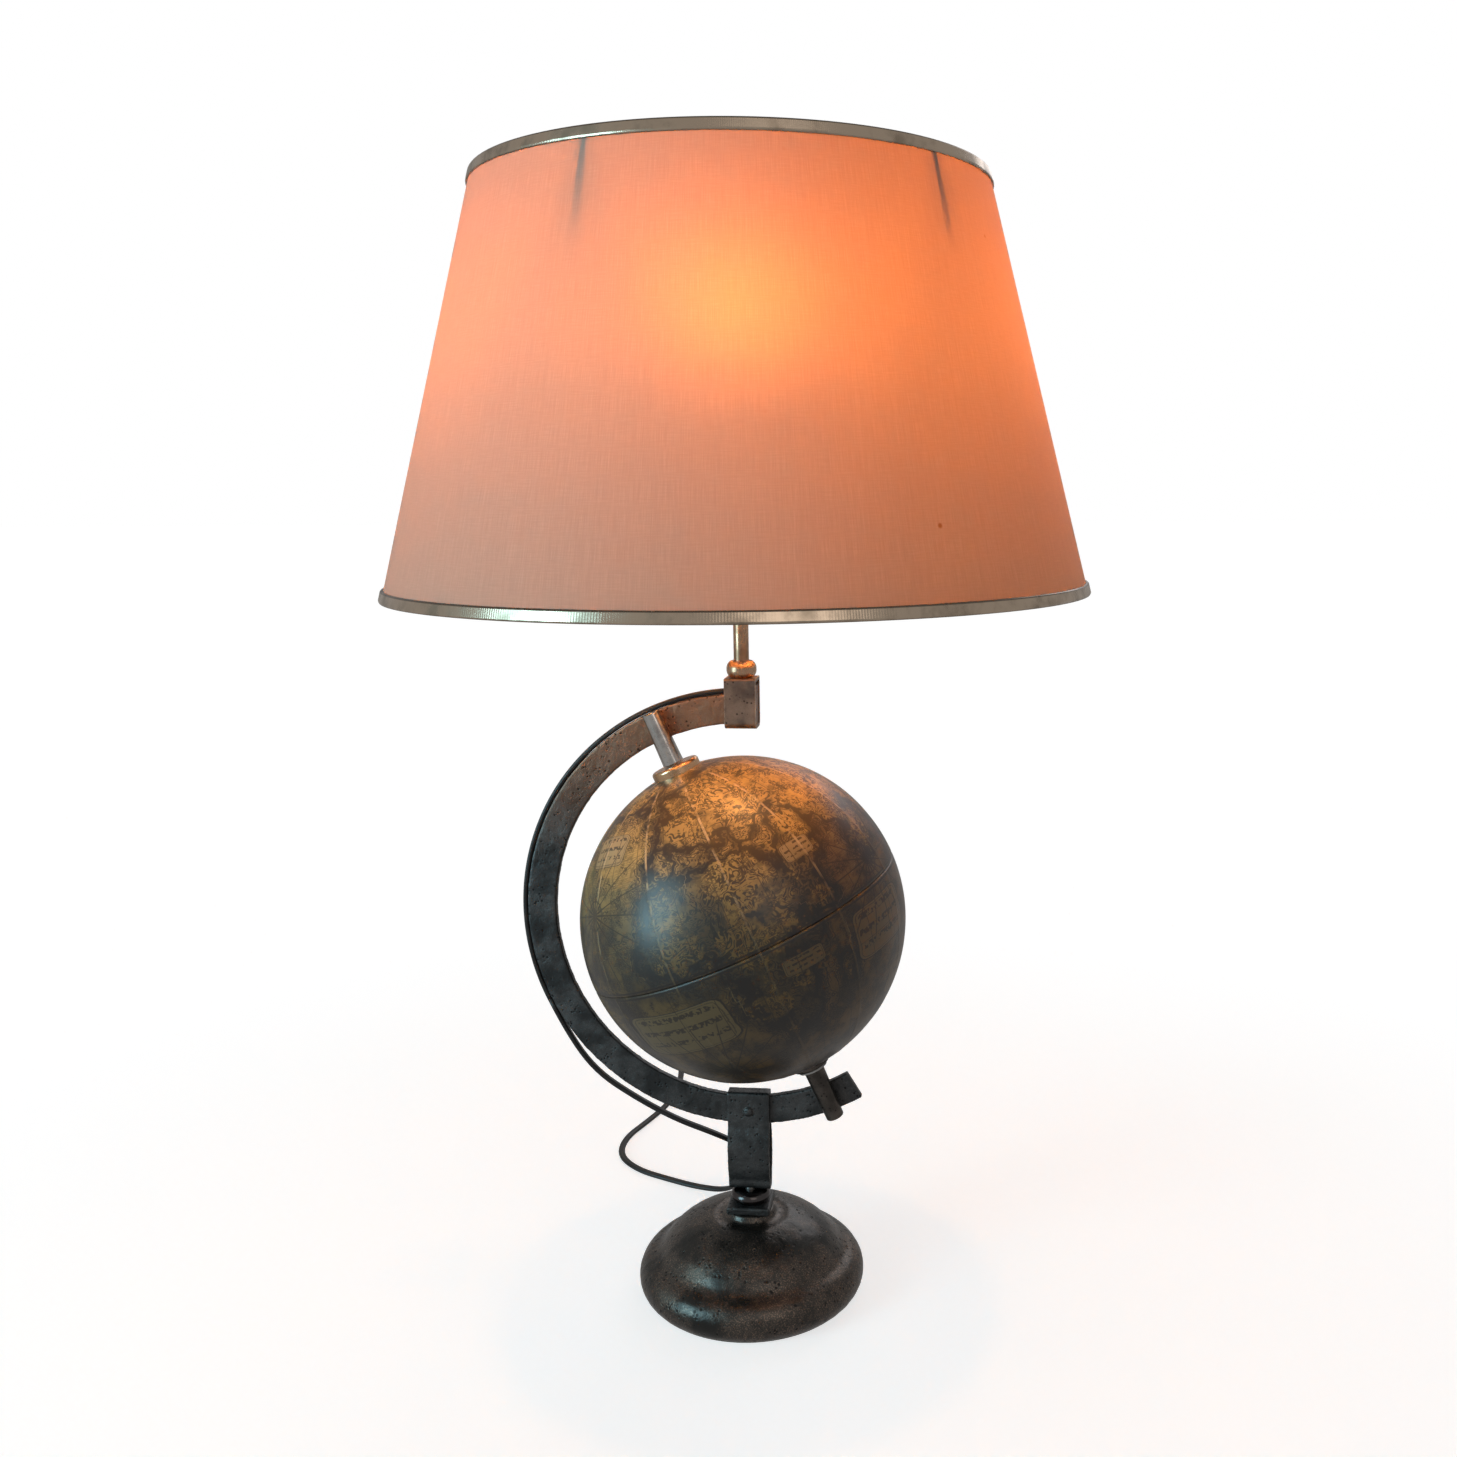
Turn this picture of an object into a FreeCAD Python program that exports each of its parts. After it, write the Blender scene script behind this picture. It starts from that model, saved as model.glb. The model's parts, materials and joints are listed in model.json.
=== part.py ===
import FreeCAD, Part
import Sketcher
import math
import os

# Table lamp whose stand is a terrestrial globe.
# Millimetres. +Z up, the front of the lamp faces -Y, origin at the centre of the base on the table.

Vector = FreeCAD.Vector
Rotation = FreeCAD.Rotation
Placement = FreeCAD.Placement

doc = FreeCAD.newDocument("globe_lamp")
sheet = doc.addObject("Spreadsheet::Sheet", "Sizes")
pieces = {}


class Dim:
    """A length with the sheet expression that gives it."""

    def __init__(self, value, text=None):
        self.value = float(value)
        self.text = text or str(value)

    def __add__(self, other):
        other = dim(other)
        return Dim(self.value + other.value, f"({self.text} + {other.text})")

    def __sub__(self, other):
        other = dim(other)
        return Dim(self.value - other.value, f"({self.text} - {other.text})")

    def __mul__(self, other):
        other = dim(other)
        return Dim(self.value * other.value, f"({self.text} * {other.text})")

    def __truediv__(self, other):
        other = dim(other)
        return Dim(self.value / other.value, f"({self.text} / {other.text})")

    def __neg__(self):
        return Dim(-self.value, f"(0 - {self.text})")

    __radd__ = __add__
    __rmul__ = __mul__

    def __rsub__(self, other):
        return dim(other) - self


def dim(number):
    return number if isinstance(number, Dim) else Dim(number)


def cos_of(angle):
    return Dim(math.cos(math.radians(angle.value)), f"cos({angle.text})")


def sin_of(angle):
    return Dim(math.sin(math.radians(angle.value)), f"sin({angle.text})")


def leg(hypotenuse, other_leg):
    """The third side of a right triangle, such as a ball's height at some radius."""
    square = hypotenuse * hypotenuse - other_leg * other_leg
    return Dim(math.sqrt(square.value), f"sqrt({square.text})")


def hypotenuse(leg_one, leg_two):
    """The long side of a right triangle, such as the slant of a cone."""
    square = leg_one * leg_one + leg_two * leg_two
    return Dim(math.sqrt(square.value), f"sqrt({square.text})")


def size(name, value):
    """One driving size: a numbered row of the sheet with an alias."""
    size.row += 1
    cell = f"A{size.row}"
    sheet.set(cell, str(value))
    sheet.setAlias(cell, name)
    return Dim(value, f"Sizes.{name}")


size.row = 0

# ---------------------------------------------------------------- driving sizes

edge_break = size("edge_break", 1.0)
fit_gap = size("fit_gap", 0.3)
running_gap = size("running_gap", 0.08)

base_radius = size("base_radius", 78.5)
base_wall = size("base_wall", 4.5)
rim_bulge = size("rim_bulge", 15.0)
rim_height = size("rim_height", 12.5)
rim_share = size("rim_share", 0.35)
waist_radius = size("waist_radius", 61.6)
waist_height = size("waist_height", 32.0)
waist_bend = size("waist_bend", 14.6)
bell_radius = size("bell_radius", 46.5)
bell_height = size("bell_height", 46.3)
bell_bend = size("bell_bend", 51.5)
dome_bend = size("dome_bend", 51.5)
dome_radius = size("dome_radius", 26.0)
dome_height = size("dome_height", 53.5)
boss_radius = size("boss_radius", 16.5)
boss_height = size("boss_height", 58.0)
boss_edge = size("boss_edge", 2.5)
dish_width = size("dish_width", 4.0)
dish_depth = size("dish_depth", 0.4)
felt_lift = size("felt_lift", 0.8)
felt_thick = size("felt_thick", 3.0)
felt_inset = size("felt_inset", 1.0)

stud_radius = size("stud_radius", 4.0)
nut_flats = size("nut_flats", 13.0)
nut_thick = size("nut_thick", 6.5)
stud_end = size("stud_end", 3.0)
washer_radius = size("washer_radius", 12.0)
washer_thick = size("washer_thick", 1.6)
foot_side = size("foot_side", 30.0)
foot_thick = size("foot_thick", 5.5)
foot_ball_radius = size("foot_ball_radius", 13.6)
foot_ball_height = size("foot_ball_height", 8.5)
ball_neck_share = size("ball_neck_share", 0.72)
ball_bulge_share = size("ball_bulge_share", 0.53)

strap_width = size("strap_width", 29.0)
strap_thick = size("strap_thick", 2.6)
strap_belly = size("strap_belly", 3.2)
strap_corner = size("strap_corner", 5.0)
screw_head_radius = size("screw_head_radius", 3.6)
screw_radius = size("screw_radius", 2.0)
screw_slack = size("screw_slack", 0.1)
screw_dome_share = size("screw_dome_share", 0.62)
strap_nut_thick = size("strap_nut_thick", 2.4)

bar_radius = size("bar_radius", 150.0)
bar_width = size("bar_width", 20.0)
bar_thick = size("bar_thick", 6.0)
bar_start = size("bar_start", 88.0)
bar_sweep = size("bar_sweep", 213.5)
globe_height = size("globe_height", 270.5)

axis_tilt = size("axis_tilt", 23.4)
globe_radius = size("globe_radius", 108.0)
globe_wall = size("globe_wall", 2.5)
pole_hole_radius = size("pole_hole_radius", 6.0)
joint_ring_half = size("joint_ring_half", 8.0)
joint_ring_wall = size("joint_ring_wall", 4.0)
upper_collar_radius = size("upper_collar_radius", 16.2)
lower_collar_radius = size("lower_collar_radius", 13.4)
collar_thick = size("collar_thick", 5.0)
collar_edge = size("collar_edge", 2.2)
washer_gap = size("washer_gap", 0.1)
thrust_thick = size("thrust_thick", 1.1)
flange_thick = size("flange_thick", 4.0)
axle_radius = size("axle_radius", 2.5)
post_inner_radius = size("post_inner_radius", 7.0)
post_outer_radius = size("post_outer_radius", 6.1)
post_seat_depth = size("post_seat_depth", 5.2)
post_overhang = size("post_overhang", 2.5)
post_screw_inset = size("post_screw_inset", 8.5)
post_edge = size("post_edge", 0.6)
axle_end_inset = size("axle_end_inset", 15.0)

block_width = size("block_width", 20.6)
block_depth = size("block_depth", 20.0)
block_wall = size("block_wall", 2.2)
block_top = size("block_top", 431.0)
block_corner = size("block_corner", 4.5)
tube_radius = size("tube_radius", 5.0)
tube_bore = size("tube_bore", 3.9)
lock_nut_thick = size("lock_nut_thick", 3.0)
ball_radius = size("ball_radius", 9.8)
ball_height = size("ball_height", 11.0)

shade_bottom_radius = size("shade_bottom_radius", 222.0)
shade_top_radius = size("shade_top_radius", 157.0)
shade_bottom = size("shade_bottom", 487.0)
shade_top = size("shade_top", 738.5)
shade_wall = size("shade_wall", 1.2)
trim_height = size("trim_height", 7.0)
trim_proud = size("trim_proud", 1.8)
trim_edge = size("trim_edge", 1.4)
trim_gap = size("trim_gap", 0.05)
cover_inset = size("cover_inset", 0.4)
ring_wire_radius = size("ring_wire_radius", 2.0)
ring_gap = size("ring_gap", 0.1)
strut_side = size("strut_side", 3.0)
strut_phase = size("strut_phase", 34.5)
strut_elbow = size("strut_elbow", 8.0)
fitter_height = size("fitter_height", 619.0)
fitter_thick = size("fitter_thick", 2.0)
fitter_radius = size("fitter_radius", 27.0)

holder_bottom = size("holder_bottom", 566.0)
holder_radius = size("holder_radius", 20.0)
holder_wall = size("holder_wall", 1.6)
cap_bore_depth = size("cap_bore_depth", 8.0)
cap_nose_width = size("cap_nose_width", 3.0)
cap_nose_height = size("cap_nose_height", 6.0)
cap_dome = size("cap_dome", 26.0)
cap_skirt = size("cap_skirt", 4.0)
ledge_thick = size("ledge_thick", 2.4)
ledge_width = size("ledge_width", 3.0)
ring_width = size("ring_width", 5.0)
thread_wall = size("thread_wall", 0.5)
thread_gap = size("thread_gap", 0.6)
contact_thick = size("contact_thick", 2.0)
contact_radius = size("contact_radius", 3.5)
holder_joint = size("holder_joint", 586.0)
holder_top = size("holder_top", 628.0)
key_height = size("key_height", 597.0)
key_radius = size("key_radius", 2.0)
key_reach = size("key_reach", 9.0)
key_length = size("key_length", 12.0)
key_thick = size("key_thick", 3.2)
key_tall = size("key_tall", 10.0)
bulb_seat = size("bulb_seat", 604.0)
bulb_cap_radius = size("bulb_cap_radius", 13.0)
bulb_cap_height = size("bulb_cap_height", 24.0)
bulb_radius = size("bulb_radius", 30.0)
bulb_centre = size("bulb_centre", 672.0)
bulb_wall = size("bulb_wall", 0.9)
bulb_cheek_share = size("bulb_cheek_share", 0.6)
bulb_neck_bend = size("bulb_neck_bend", 60.0)
bulb_stem_radius = size("bulb_stem_radius", 8.0)

cord_width = size("cord_width", 5.4)
cord_thick = size("cord_thick", 3.4)
cord_leave = size("cord_leave", 205.0)
coil_radius = size("coil_radius", 31.0)
coil_side = size("coil_side", 14.0)
coil_height = size("coil_height", 11.0)
plug_length = size("plug_length", 36.0)
plug_width = size("plug_width", 35.0)
plug_thick = size("plug_thick", 14.0)
pin_radius = size("pin_radius", 2.0)
pin_length = size("pin_length", 19.0)
pin_spread = size("pin_spread", 19.0)
plug_nose = size("plug_nose", 14.0)
plug_flare = size("plug_flare", 30.0)
relief_length = size("relief_length", 28.0)
relief_radius = size("relief_radius", 5.2)
tie_width = size("tie_width", 6.0)
tie_wall = size("tie_wall", 1.2)
tie_gap = size("tie_gap", 0.4)
tie_lift = size("tie_lift", 0.2)
coil_corner = size("coil_corner", 3.0)
wire_radius = size("wire_radius", 1.1)
wire_spread = size("wire_spread", 1.25)
wire_bend = size("wire_bend", 3.4)

# Places that follow from the sizes.
bar_inner = bar_radius - bar_width
bar_front = bar_thick / 2
axle_y = -(bar_front + post_seat_depth)
bar_bottom = globe_height - bar_radius
nut_seat = boss_height - base_wall * 2
foot_top = boss_height + foot_thick
strap_bottom = foot_top + foot_ball_height
strap_top = globe_height - leg(bar_inner, strap_width / 2) + strap_thick
cord_track = bar_radius + cord_thick / 2 + 0.1
block_bottom = globe_height + leg(bar_inner, block_width / 2) - block_wall
tube_foot = block_top + ball_height
fitter_top = fitter_height + fitter_thick
shade_rise = shade_top - shade_bottom
shade_lean = hypotenuse(shade_rise, shade_bottom_radius - shade_top_radius) / shade_rise

# ---------------------------------------------------------------- drawing helpers


def bind(thing, name, amount):
    """Set a size of an object from the sheet."""
    thing.setExpression(name, dim(amount).text)


def place(thing, x=0, y=0, z=0, axis=(0, 0, 1), angle=0):
    spot = Vector(dim(x).value, dim(y).value, dim(z).value)
    thing.Placement = Placement(spot, Rotation(Vector(*axis), dim(angle).value))
    for name, amount in (("x", x), ("y", y), ("z", z)):
        bind(thing, f"Placement.Base.{name}", amount)
    if dim(angle).value:
        bind(thing, "Placement.Rotation.Angle", angle)
    return thing


def tilt(thing):
    """Stand a piece that was drawn about +Z on the globe's tilted axis."""
    return place(thing, y=axle_y, z=globe_height, axis=(0, 1, 0), angle=-axis_tilt)


def keep(node, thing):
    """Name a finished sub-part."""
    thing.Label = node
    pieces[node] = thing
    return thing


def origin_plane(body, role):
    return next(item for item in body.Origin.OriginFeatures if item.Role == role)


def arc_between(start, end, radius):
    """Arc from start to end: a positive radius turns left, a negative one right."""
    chord = end - start
    side = Vector(-chord.y, chord.x, 0).normalize()
    rise = math.sqrt(max(radius * radius - chord.Length ** 2 / 4, 0))
    centre = (start + end) * 0.5 + side * math.copysign(rise, radius)
    first, last = (start, end) if radius > 0 else (end, start)
    angles = [math.atan2(point.y - centre.y, point.x - centre.x) for point in (first, last)]
    circle = Part.Circle(centre, Vector(0, 0, 1), abs(radius))
    return Part.ArcOfCircle(circle, angles[0], angles[1])


def add_outline(sketch, corners):
    """Closed outline of (x, y) corners; (x, y, radius) is reached by an arc."""
    spots = [Vector(dim(c[0]).value, dim(c[1]).value, 0) for c in corners]
    edges = []
    for index, corner in enumerate(corners):
        start, end = spots[index - 1], spots[index]
        if len(corner) == 3:
            radius = dim(corner[2])
            number = sketch.addGeometry(arc_between(start, end, radius.value))
            ends = (1, 2) if radius.value > 0 else (2, 1)
            limit = sketch.addConstraint(Sketcher.Constraint("Radius", number, abs(radius.value)))
            bind(sketch, f"Constraints[{limit}]", radius if radius.value > 0 else -radius)
        else:
            number = sketch.addGeometry(Part.LineSegment(start, end))
            ends = (1, 2)
        edges.append((number, ends))
    for index, corner in enumerate(corners):
        number, ends = edges[index]
        follower, follower_ends = edges[(index + 1) % len(edges)]
        link = ("Coincident", number, ends[1], follower, follower_ends[0])
        sketch.addConstraint(Sketcher.Constraint(*link))
        for kind, line, amount in (("DistanceX", -2, corner[0]), ("DistanceY", -1, corner[1])):
            if dim(amount).value == 0:
                on_axis = ("PointOnObject", number, ends[1], line)
                sketch.addConstraint(Sketcher.Constraint(*on_axis))
            else:
                offset = (kind, -1, 1, number, ends[1], dim(amount).value)
                limit = sketch.addConstraint(Sketcher.Constraint(*offset))
                bind(sketch, f"Constraints[{limit}]", amount)


def new_sketch(body, name, role, *outlines):
    sketch = body.newObject("Sketcher::SketchObject", name)
    sketch.AttachmentSupport = [(origin_plane(body, role), "")]
    sketch.MapMode = "FlatFace"
    for corners in outlines:
        add_outline(sketch, corners)
    return sketch


def turned(node, *outlines):
    """A piece turned about its own Z axis from outlines of (radius, height)."""
    body = doc.addObject("PartDesign::Body", node)
    sketch = new_sketch(body, f"{node}_outline", "XZ_Plane", *outlines)
    turn = body.newObject("PartDesign::Revolution", f"{node}_turn")
    turn.Profile = sketch
    turn.ReferenceAxis = (sketch, ["V_Axis"])
    turn.Angle = 360
    return keep(node, body)


def plate(node, role, thick, *outlines):
    """A piece of even thickness, drawn on the middle plane named by role."""
    body = doc.addObject("PartDesign::Body", node)
    sketch = new_sketch(body, f"{node}_outline", role, *outlines)
    pad = body.newObject("PartDesign::Pad", f"{node}_pad")
    pad.Profile = sketch
    pad.SideType = "Symmetric"
    bind(pad, "Length", thick)
    return keep(node, body)


def rod(name, radius, low, high):
    """A plain cylinder about Z from low to high."""
    cylinder = doc.addObject("Part::Cylinder", name)
    bind(cylinder, "Radius", radius)
    bind(cylinder, "Height", dim(high) - low)
    return place(cylinder, z=low)


def rod_along_y(name, radius, x, z, low, high):
    """A plain cylinder along +Y from low to high."""
    cylinder = doc.addObject("Part::Cylinder", name)
    bind(cylinder, "Radius", radius)
    bind(cylinder, "Height", dim(high) - low)
    return place(cylinder, x=x, y=low, z=z, axis=(1, 0, 0), angle=-90)


def brick(name, x, y, z):
    """A box between (low, high) pairs of x, y and z."""
    box = doc.addObject("Part::Box", name)
    for prop, (low, high) in zip(("Length", "Width", "Height"), (x, y, z)):
        bind(box, prop, dim(high) - low)
    return place(box, x=x[0], y=y[0], z=z[0])


def cut(node, base, *tools):
    """The base with every tool taken away, as one sub-part."""
    result = base
    for index, tool in enumerate(tools):
        step = doc.addObject("Part::Cut", f"{node}_cut_{index}")
        step.Base = result
        step.Tool = tool
        result = step
    return keep(node, result)


def group(node, *members):
    """Separate solids that share one node."""
    compound = doc.addObject("Part::Compound", f"{node}_set")
    compound.Links = list(members)
    return keep(node, compound)


def hexagon(name, flats, bore, low, high):
    """A hexagon nut about Z."""
    prism = doc.addObject("Part::Prism", f"{name}_hexagon")
    prism.Polygon = 6
    bind(prism, "Circumradius", flats / math.sqrt(3))
    bind(prism, "Height", dim(high) - low)
    place(prism, z=low)
    hole = rod(f"{name}_bore", bore, dim(low) - 1, dim(high) + 1)
    step = doc.addObject("Part::Cut", name)
    step.Base = prism
    step.Tool = hole
    return step


def add_chamfer(node, amount):
    """Break every edge of a finished box-like piece."""
    solid = pieces[node]
    doc.recompute()
    chamfer = doc.addObject("Part::Chamfer", f"{node}_edges")
    chamfer.Base = solid
    rims = [i for i, edge in enumerate(solid.Shape.Edges, 1) if edge.Curve.TypeId == "Part::GeomLine"]
    chamfer.Edges = [(i, amount, amount) for i in rims]
    return keep(node, chamfer)


# ---------------------------------------------------------------- base and stem


def make_base():
    rim_centre = base_radius - rim_bulge
    rim_foot = rim_centre + leg(rim_bulge, rim_height - felt_lift)
    shoulder_radius = rim_centre + rim_bulge * rim_share
    shoulder_height = rim_height + leg(rim_bulge, rim_bulge * rim_share)
    turned(
        "base_casting",
        [
            (stud_radius + fit_gap, nut_seat),
            (washer_radius + 1, nut_seat),
            (dome_radius, dome_height - base_wall * 1.6),
            (bell_radius - base_wall, bell_height - base_wall * 1.6),
            (waist_radius - base_wall * 1.5, waist_height - base_wall),
            (rim_centre + rim_bulge - base_wall * 1.6, rim_height),
            (rim_foot - base_wall, felt_lift),
            (rim_foot, felt_lift),
            (base_radius, rim_height, rim_bulge),
            (shoulder_radius, shoulder_height, rim_bulge),
            (waist_radius, waist_height, -waist_bend),
            (bell_radius, bell_height, bell_bend),
            (dome_radius, dome_height, dome_bend),
            (boss_radius + dish_width, dome_height - dish_depth, -boss_radius),
            (boss_radius, boss_height - boss_edge, -dish_width),
            (boss_radius - boss_edge / 2, boss_height, boss_edge),
            (stud_radius + fit_gap, boss_height),
        ],
    )
    felt_edge = rim_foot - felt_inset
    recess_edge = rim_foot - base_wall - fit_gap
    turned(
        "base_felt",
        [
            (nut_flats, 0),
            (felt_edge, 0),
            (felt_edge, felt_lift),
            (recess_edge, felt_lift),
            (recess_edge, felt_thick),
            (nut_flats, felt_thick),
        ],
    )
    nut_top = nut_seat - washer_thick
    turned(
        "base_washer",
        [
            (stud_radius + fit_gap, nut_top),
            (washer_radius, nut_top),
            (washer_radius, nut_seat),
            (stud_radius + fit_gap, nut_seat),
        ],
    )
    nut_foot = nut_top - nut_thick
    keep("base_nut", hexagon("base_nut", nut_flats, stud_radius, nut_foot, nut_top))
    keep("stem_stud", rod("stem_stud", stud_radius, nut_foot - stud_end, strap_bottom + strap_thick))


def make_stem():
    half = foot_side / 2
    cut(
        "foot_plate",
        brick("foot_block", (-half, half), (-half, half), (boss_height, foot_top)),
        rod("foot_hole", stud_radius + fit_gap, boss_height - 1, foot_top + 1),
    )
    pieces["foot_plate"] = add_chamfer("foot_plate", edge_break.value)
    middle = foot_top + foot_ball_height / 2
    neck = foot_ball_radius * ball_neck_share
    bulge = foot_ball_height * ball_bulge_share
    turned(
        "foot_ball",
        [
            (stud_radius + fit_gap, foot_top),
            (neck, foot_top),
            (foot_ball_radius, middle, bulge),
            (neck, strap_bottom, bulge),
            (stud_radius + fit_gap, strap_bottom),
        ],
    )


def make_strap():
    inner = bar_front
    outer = bar_front + strap_thick
    belly_low = strap_bottom + strap_corner + 3
    belly_high = bar_bottom - 2
    belly_middle = (belly_low + belly_high) / 2
    half_chord = (belly_high - belly_low) / 2
    bow = (half_chord * half_chord + strap_belly * strap_belly) / (strap_belly * 2)
    floor = strap_bottom + strap_thick
    heel = strap_corner - strap_thick
    outside = [
        (outer, strap_bottom + strap_corner, strap_corner),
        (outer, belly_low),
        (outer, belly_high, bow),
        (outer, strap_top - 2),
        (outer - 2, strap_top, 2),
        (-(outer - 2), strap_top),
        (-outer, strap_top - 2, 2),
        (-outer, belly_high),
        (-outer, belly_low, bow),
        (-outer, strap_bottom + strap_corner),
        (-(outer - strap_corner), strap_bottom, strap_corner),
        (outer - strap_corner, strap_bottom),
    ]
    inside = [
        (inner, floor + heel, heel),
        (inner, belly_low),
        (inner, belly_high, bow),
        (inner, strap_top - strap_thick),
        (-inner, strap_top - strap_thick),
        (-inner, belly_high),
        (-inner, belly_low, bow),
        (-inner, floor + heel),
        (-(inner - heel), floor, heel),
        (inner - heel, floor),
    ]
    band = plate("stem_band", "YZ_Plane", strap_width, outside, inside)
    del pieces["stem_band"]
    screw_height = globe_height - bar_radius + bar_width / 2
    reach = outer + 1
    cut(
        "stem_strap",
        band,
        rod_along_y("strap_screw_hole", screw_radius + screw_slack, 0, screw_height, -reach, reach),
        rod("strap_stud_hole", stud_radius, strap_bottom - 1, floor + 1),
    )
    screw("strap_screw", 0, -outer, screw_height, outer + strap_nut_thick + screw_slack, 1)
    nut = hexagon("strap_nut", screw_radius * 3.4, screw_radius, 0, strap_nut_thick)
    place(nut, y=outer, z=screw_height, axis=(1, 0, 0), angle=-90)
    keep("strap_nut", nut)


def screw(node, x, y, z, length, facing):
    """A dome-head screw whose head sits on y; facing 1 has its shank towards +Y."""
    dome = screw_head_radius * screw_dome_share
    bulge = (screw_head_radius * screw_head_radius + dome * dome) / (dome * 2)
    body = turned(
        node,
        [
            (0, length),
            (0, -dome),
            (screw_head_radius, 0, bulge),
            (screw_radius, 0),
            (screw_radius, length),
        ],
    )
    return place(body, x=x, y=y, z=z, axis=(1, 0, 0), angle=-90 * facing)


# ---------------------------------------------------------------- meridian bar and posts


def on_tilted_axis(distance):
    """X and Z of a point on the globe's axis, measured from the globe's centre."""
    return -(distance * sin_of(axis_tilt)), globe_height + distance * cos_of(axis_tilt)


def make_bar():
    pie = doc.addObject("Part::Cylinder", "bar_disc")
    bind(pie, "Radius", bar_radius)
    bind(pie, "Height", bar_thick)
    bind(pie, "Angle", bar_sweep)
    turn = Rotation(Vector(1, 0, 0), 90).multiply(Rotation(Vector(0, 0, 1), bar_start.value))
    pie.Placement = Placement(Vector(0, bar_front.value, globe_height.value), turn)
    reach = bar_front + 1
    core = rod_along_y("bar_core", bar_inner, 0, globe_height, -reach, reach)
    screw_height = bar_bottom + bar_width / 2
    holes = [rod_along_y("bar_strap_hole", screw_radius + screw_slack, 0, screw_height, -reach, reach)]
    for name, side in (("upper", 1), ("lower", -1)):
        x, z = on_tilted_axis((bar_radius - post_screw_inset) * side)
        holes.append(rod_along_y(f"bar_{name}_hole", screw_radius + screw_slack, x, z, -reach, reach))
    cut("meridian_bar", pie, core, *holes)


def make_posts():
    """The two tubes that carry the axle, each with a flat that seats on the bar."""
    inner_end = globe_radius + collar_thick + fit_gap + washer_gap
    axle_end = bar_radius - axle_end_inset
    for name, side, overhang in (("upper", 1, 0.0), ("lower", -1, post_overhang)):
        outer_end = bar_radius + overhang
        start = inner_end if side == 1 else inner_end + washer_gap + thrust_thick
        blank = turned(
            f"{name}_post_blank",
            [
                (axle_radius, start * side),
                (post_inner_radius - post_edge, start * side),
                (post_inner_radius, (start + post_edge) * side),
                (post_outer_radius, (outer_end - post_edge) * side),
                (post_outer_radius - post_edge, outer_end * side),
                (0, outer_end * side),
                (0, (axle_end + 0.5) * side),
                (axle_radius, (axle_end + 0.5) * side),
            ],
        )
        del pieces[f"{name}_post_blank"]
        tilt(blank)
        seat = brick(f"{name}_seat", (-20, 20), (post_seat_depth, 20), (bar_inner - 1, bar_radius + 9))
        if side == -1:
            bind(seat, "Placement.Base.z", -(bar_radius + 9))
        tilted = doc.addObject("Part::Compound", f"{name}_seat_tilted")
        tilted.Links = [seat]
        tilt(tilted)
        x, z = on_tilted_axis((bar_radius - post_screw_inset) * side)
        hole = rod_along_y(f"{name}_post_hole", screw_radius, x, z, axle_y - 2, axle_y + 20)
        cut(f"{name}_post", blank, tilted, hole)
        screw(f"{name}_post_screw", x, bar_front, z, bar_front - axle_y + 1.8, -1)
    axle = doc.addObject("Part::Cylinder", "axle_rod")
    bind(axle, "Radius", axle_radius)
    bind(axle, "Height", axle_end * 2)
    back = -(axle_end)
    place(axle, x=-(back * sin_of(axis_tilt)), y=axle_y,
          z=globe_height + back * cos_of(axis_tilt), axis=(0, 1, 0), angle=-axis_tilt)
    keep("axle_rod", axle)
    washer_near = inner_end + washer_gap
    washer_far = washer_near + thrust_thick
    tilt(turned(
        "thrust_washer",
        [
            (axle_radius, -washer_far),
            (lower_collar_radius * 0.75, -washer_far),
            (lower_collar_radius * 0.75, -washer_near),
            (axle_radius, -washer_near),
        ],
    ))


# ---------------------------------------------------------------- globe


def make_globe():
    inside = globe_radius - globe_wall
    mouth = leg(globe_radius, pole_hole_radius)
    inner_mouth = leg(inside, pole_hole_radius)
    for name, side in (("north", 1), ("south", -1)):
        tilt(turned(
            f"globe_{name}_half",
            [
                (inside, 0, -(inside * side)),
                (globe_radius, 0),
                (pole_hole_radius, mouth * side, globe_radius * side),
                (pole_hole_radius, inner_mouth * side),
            ],
        ))
    ring_radius = leg(inside, joint_ring_half)
    tilt(turned(
        "globe_joint_ring",
        [
            (ring_radius - joint_ring_wall, -joint_ring_half),
            (ring_radius, -joint_ring_half),
            (ring_radius, joint_ring_half, inside),
            (ring_radius - joint_ring_wall, joint_ring_half),
        ],
    ))
    for name, side, radius in (("upper", 1, upper_collar_radius), ("lower", -1, lower_collar_radius)):
        make_pole(name, side, radius)


def make_pole(name, side, radius):
    """The bush in a pole hole and the turned collar that covers it."""
    mouth = leg(globe_radius, pole_hole_radius)
    edge = leg(globe_radius, radius)
    top = globe_radius + collar_thick - fit_gap
    flange = leg(globe_radius - globe_wall, pole_hole_radius * 2) - fit_gap
    bore = axle_radius + running_gap
    tilt(turned(
        f"{name}_pole_bush",
        [
            (bore, (flange - flange_thick) * side),
            (pole_hole_radius * 2, (flange - flange_thick) * side),
            (pole_hole_radius * 2, flange * side),
            (pole_hole_radius, flange * side),
            (pole_hole_radius, top * side),
            (bore, top * side),
        ],
    ))
    tilt(turned(
        f"{name}_pole_collar",
        [
            (pole_hole_radius, mouth * side),
            (radius, edge * side, -(globe_radius * side)),
            (radius, (top - collar_edge) * side),
            (radius - collar_edge, top * side, collar_edge * side),
            (pole_hole_radius, top * side),
        ],
    ))


# ---------------------------------------------------------------- head block and lamp tube


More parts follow.
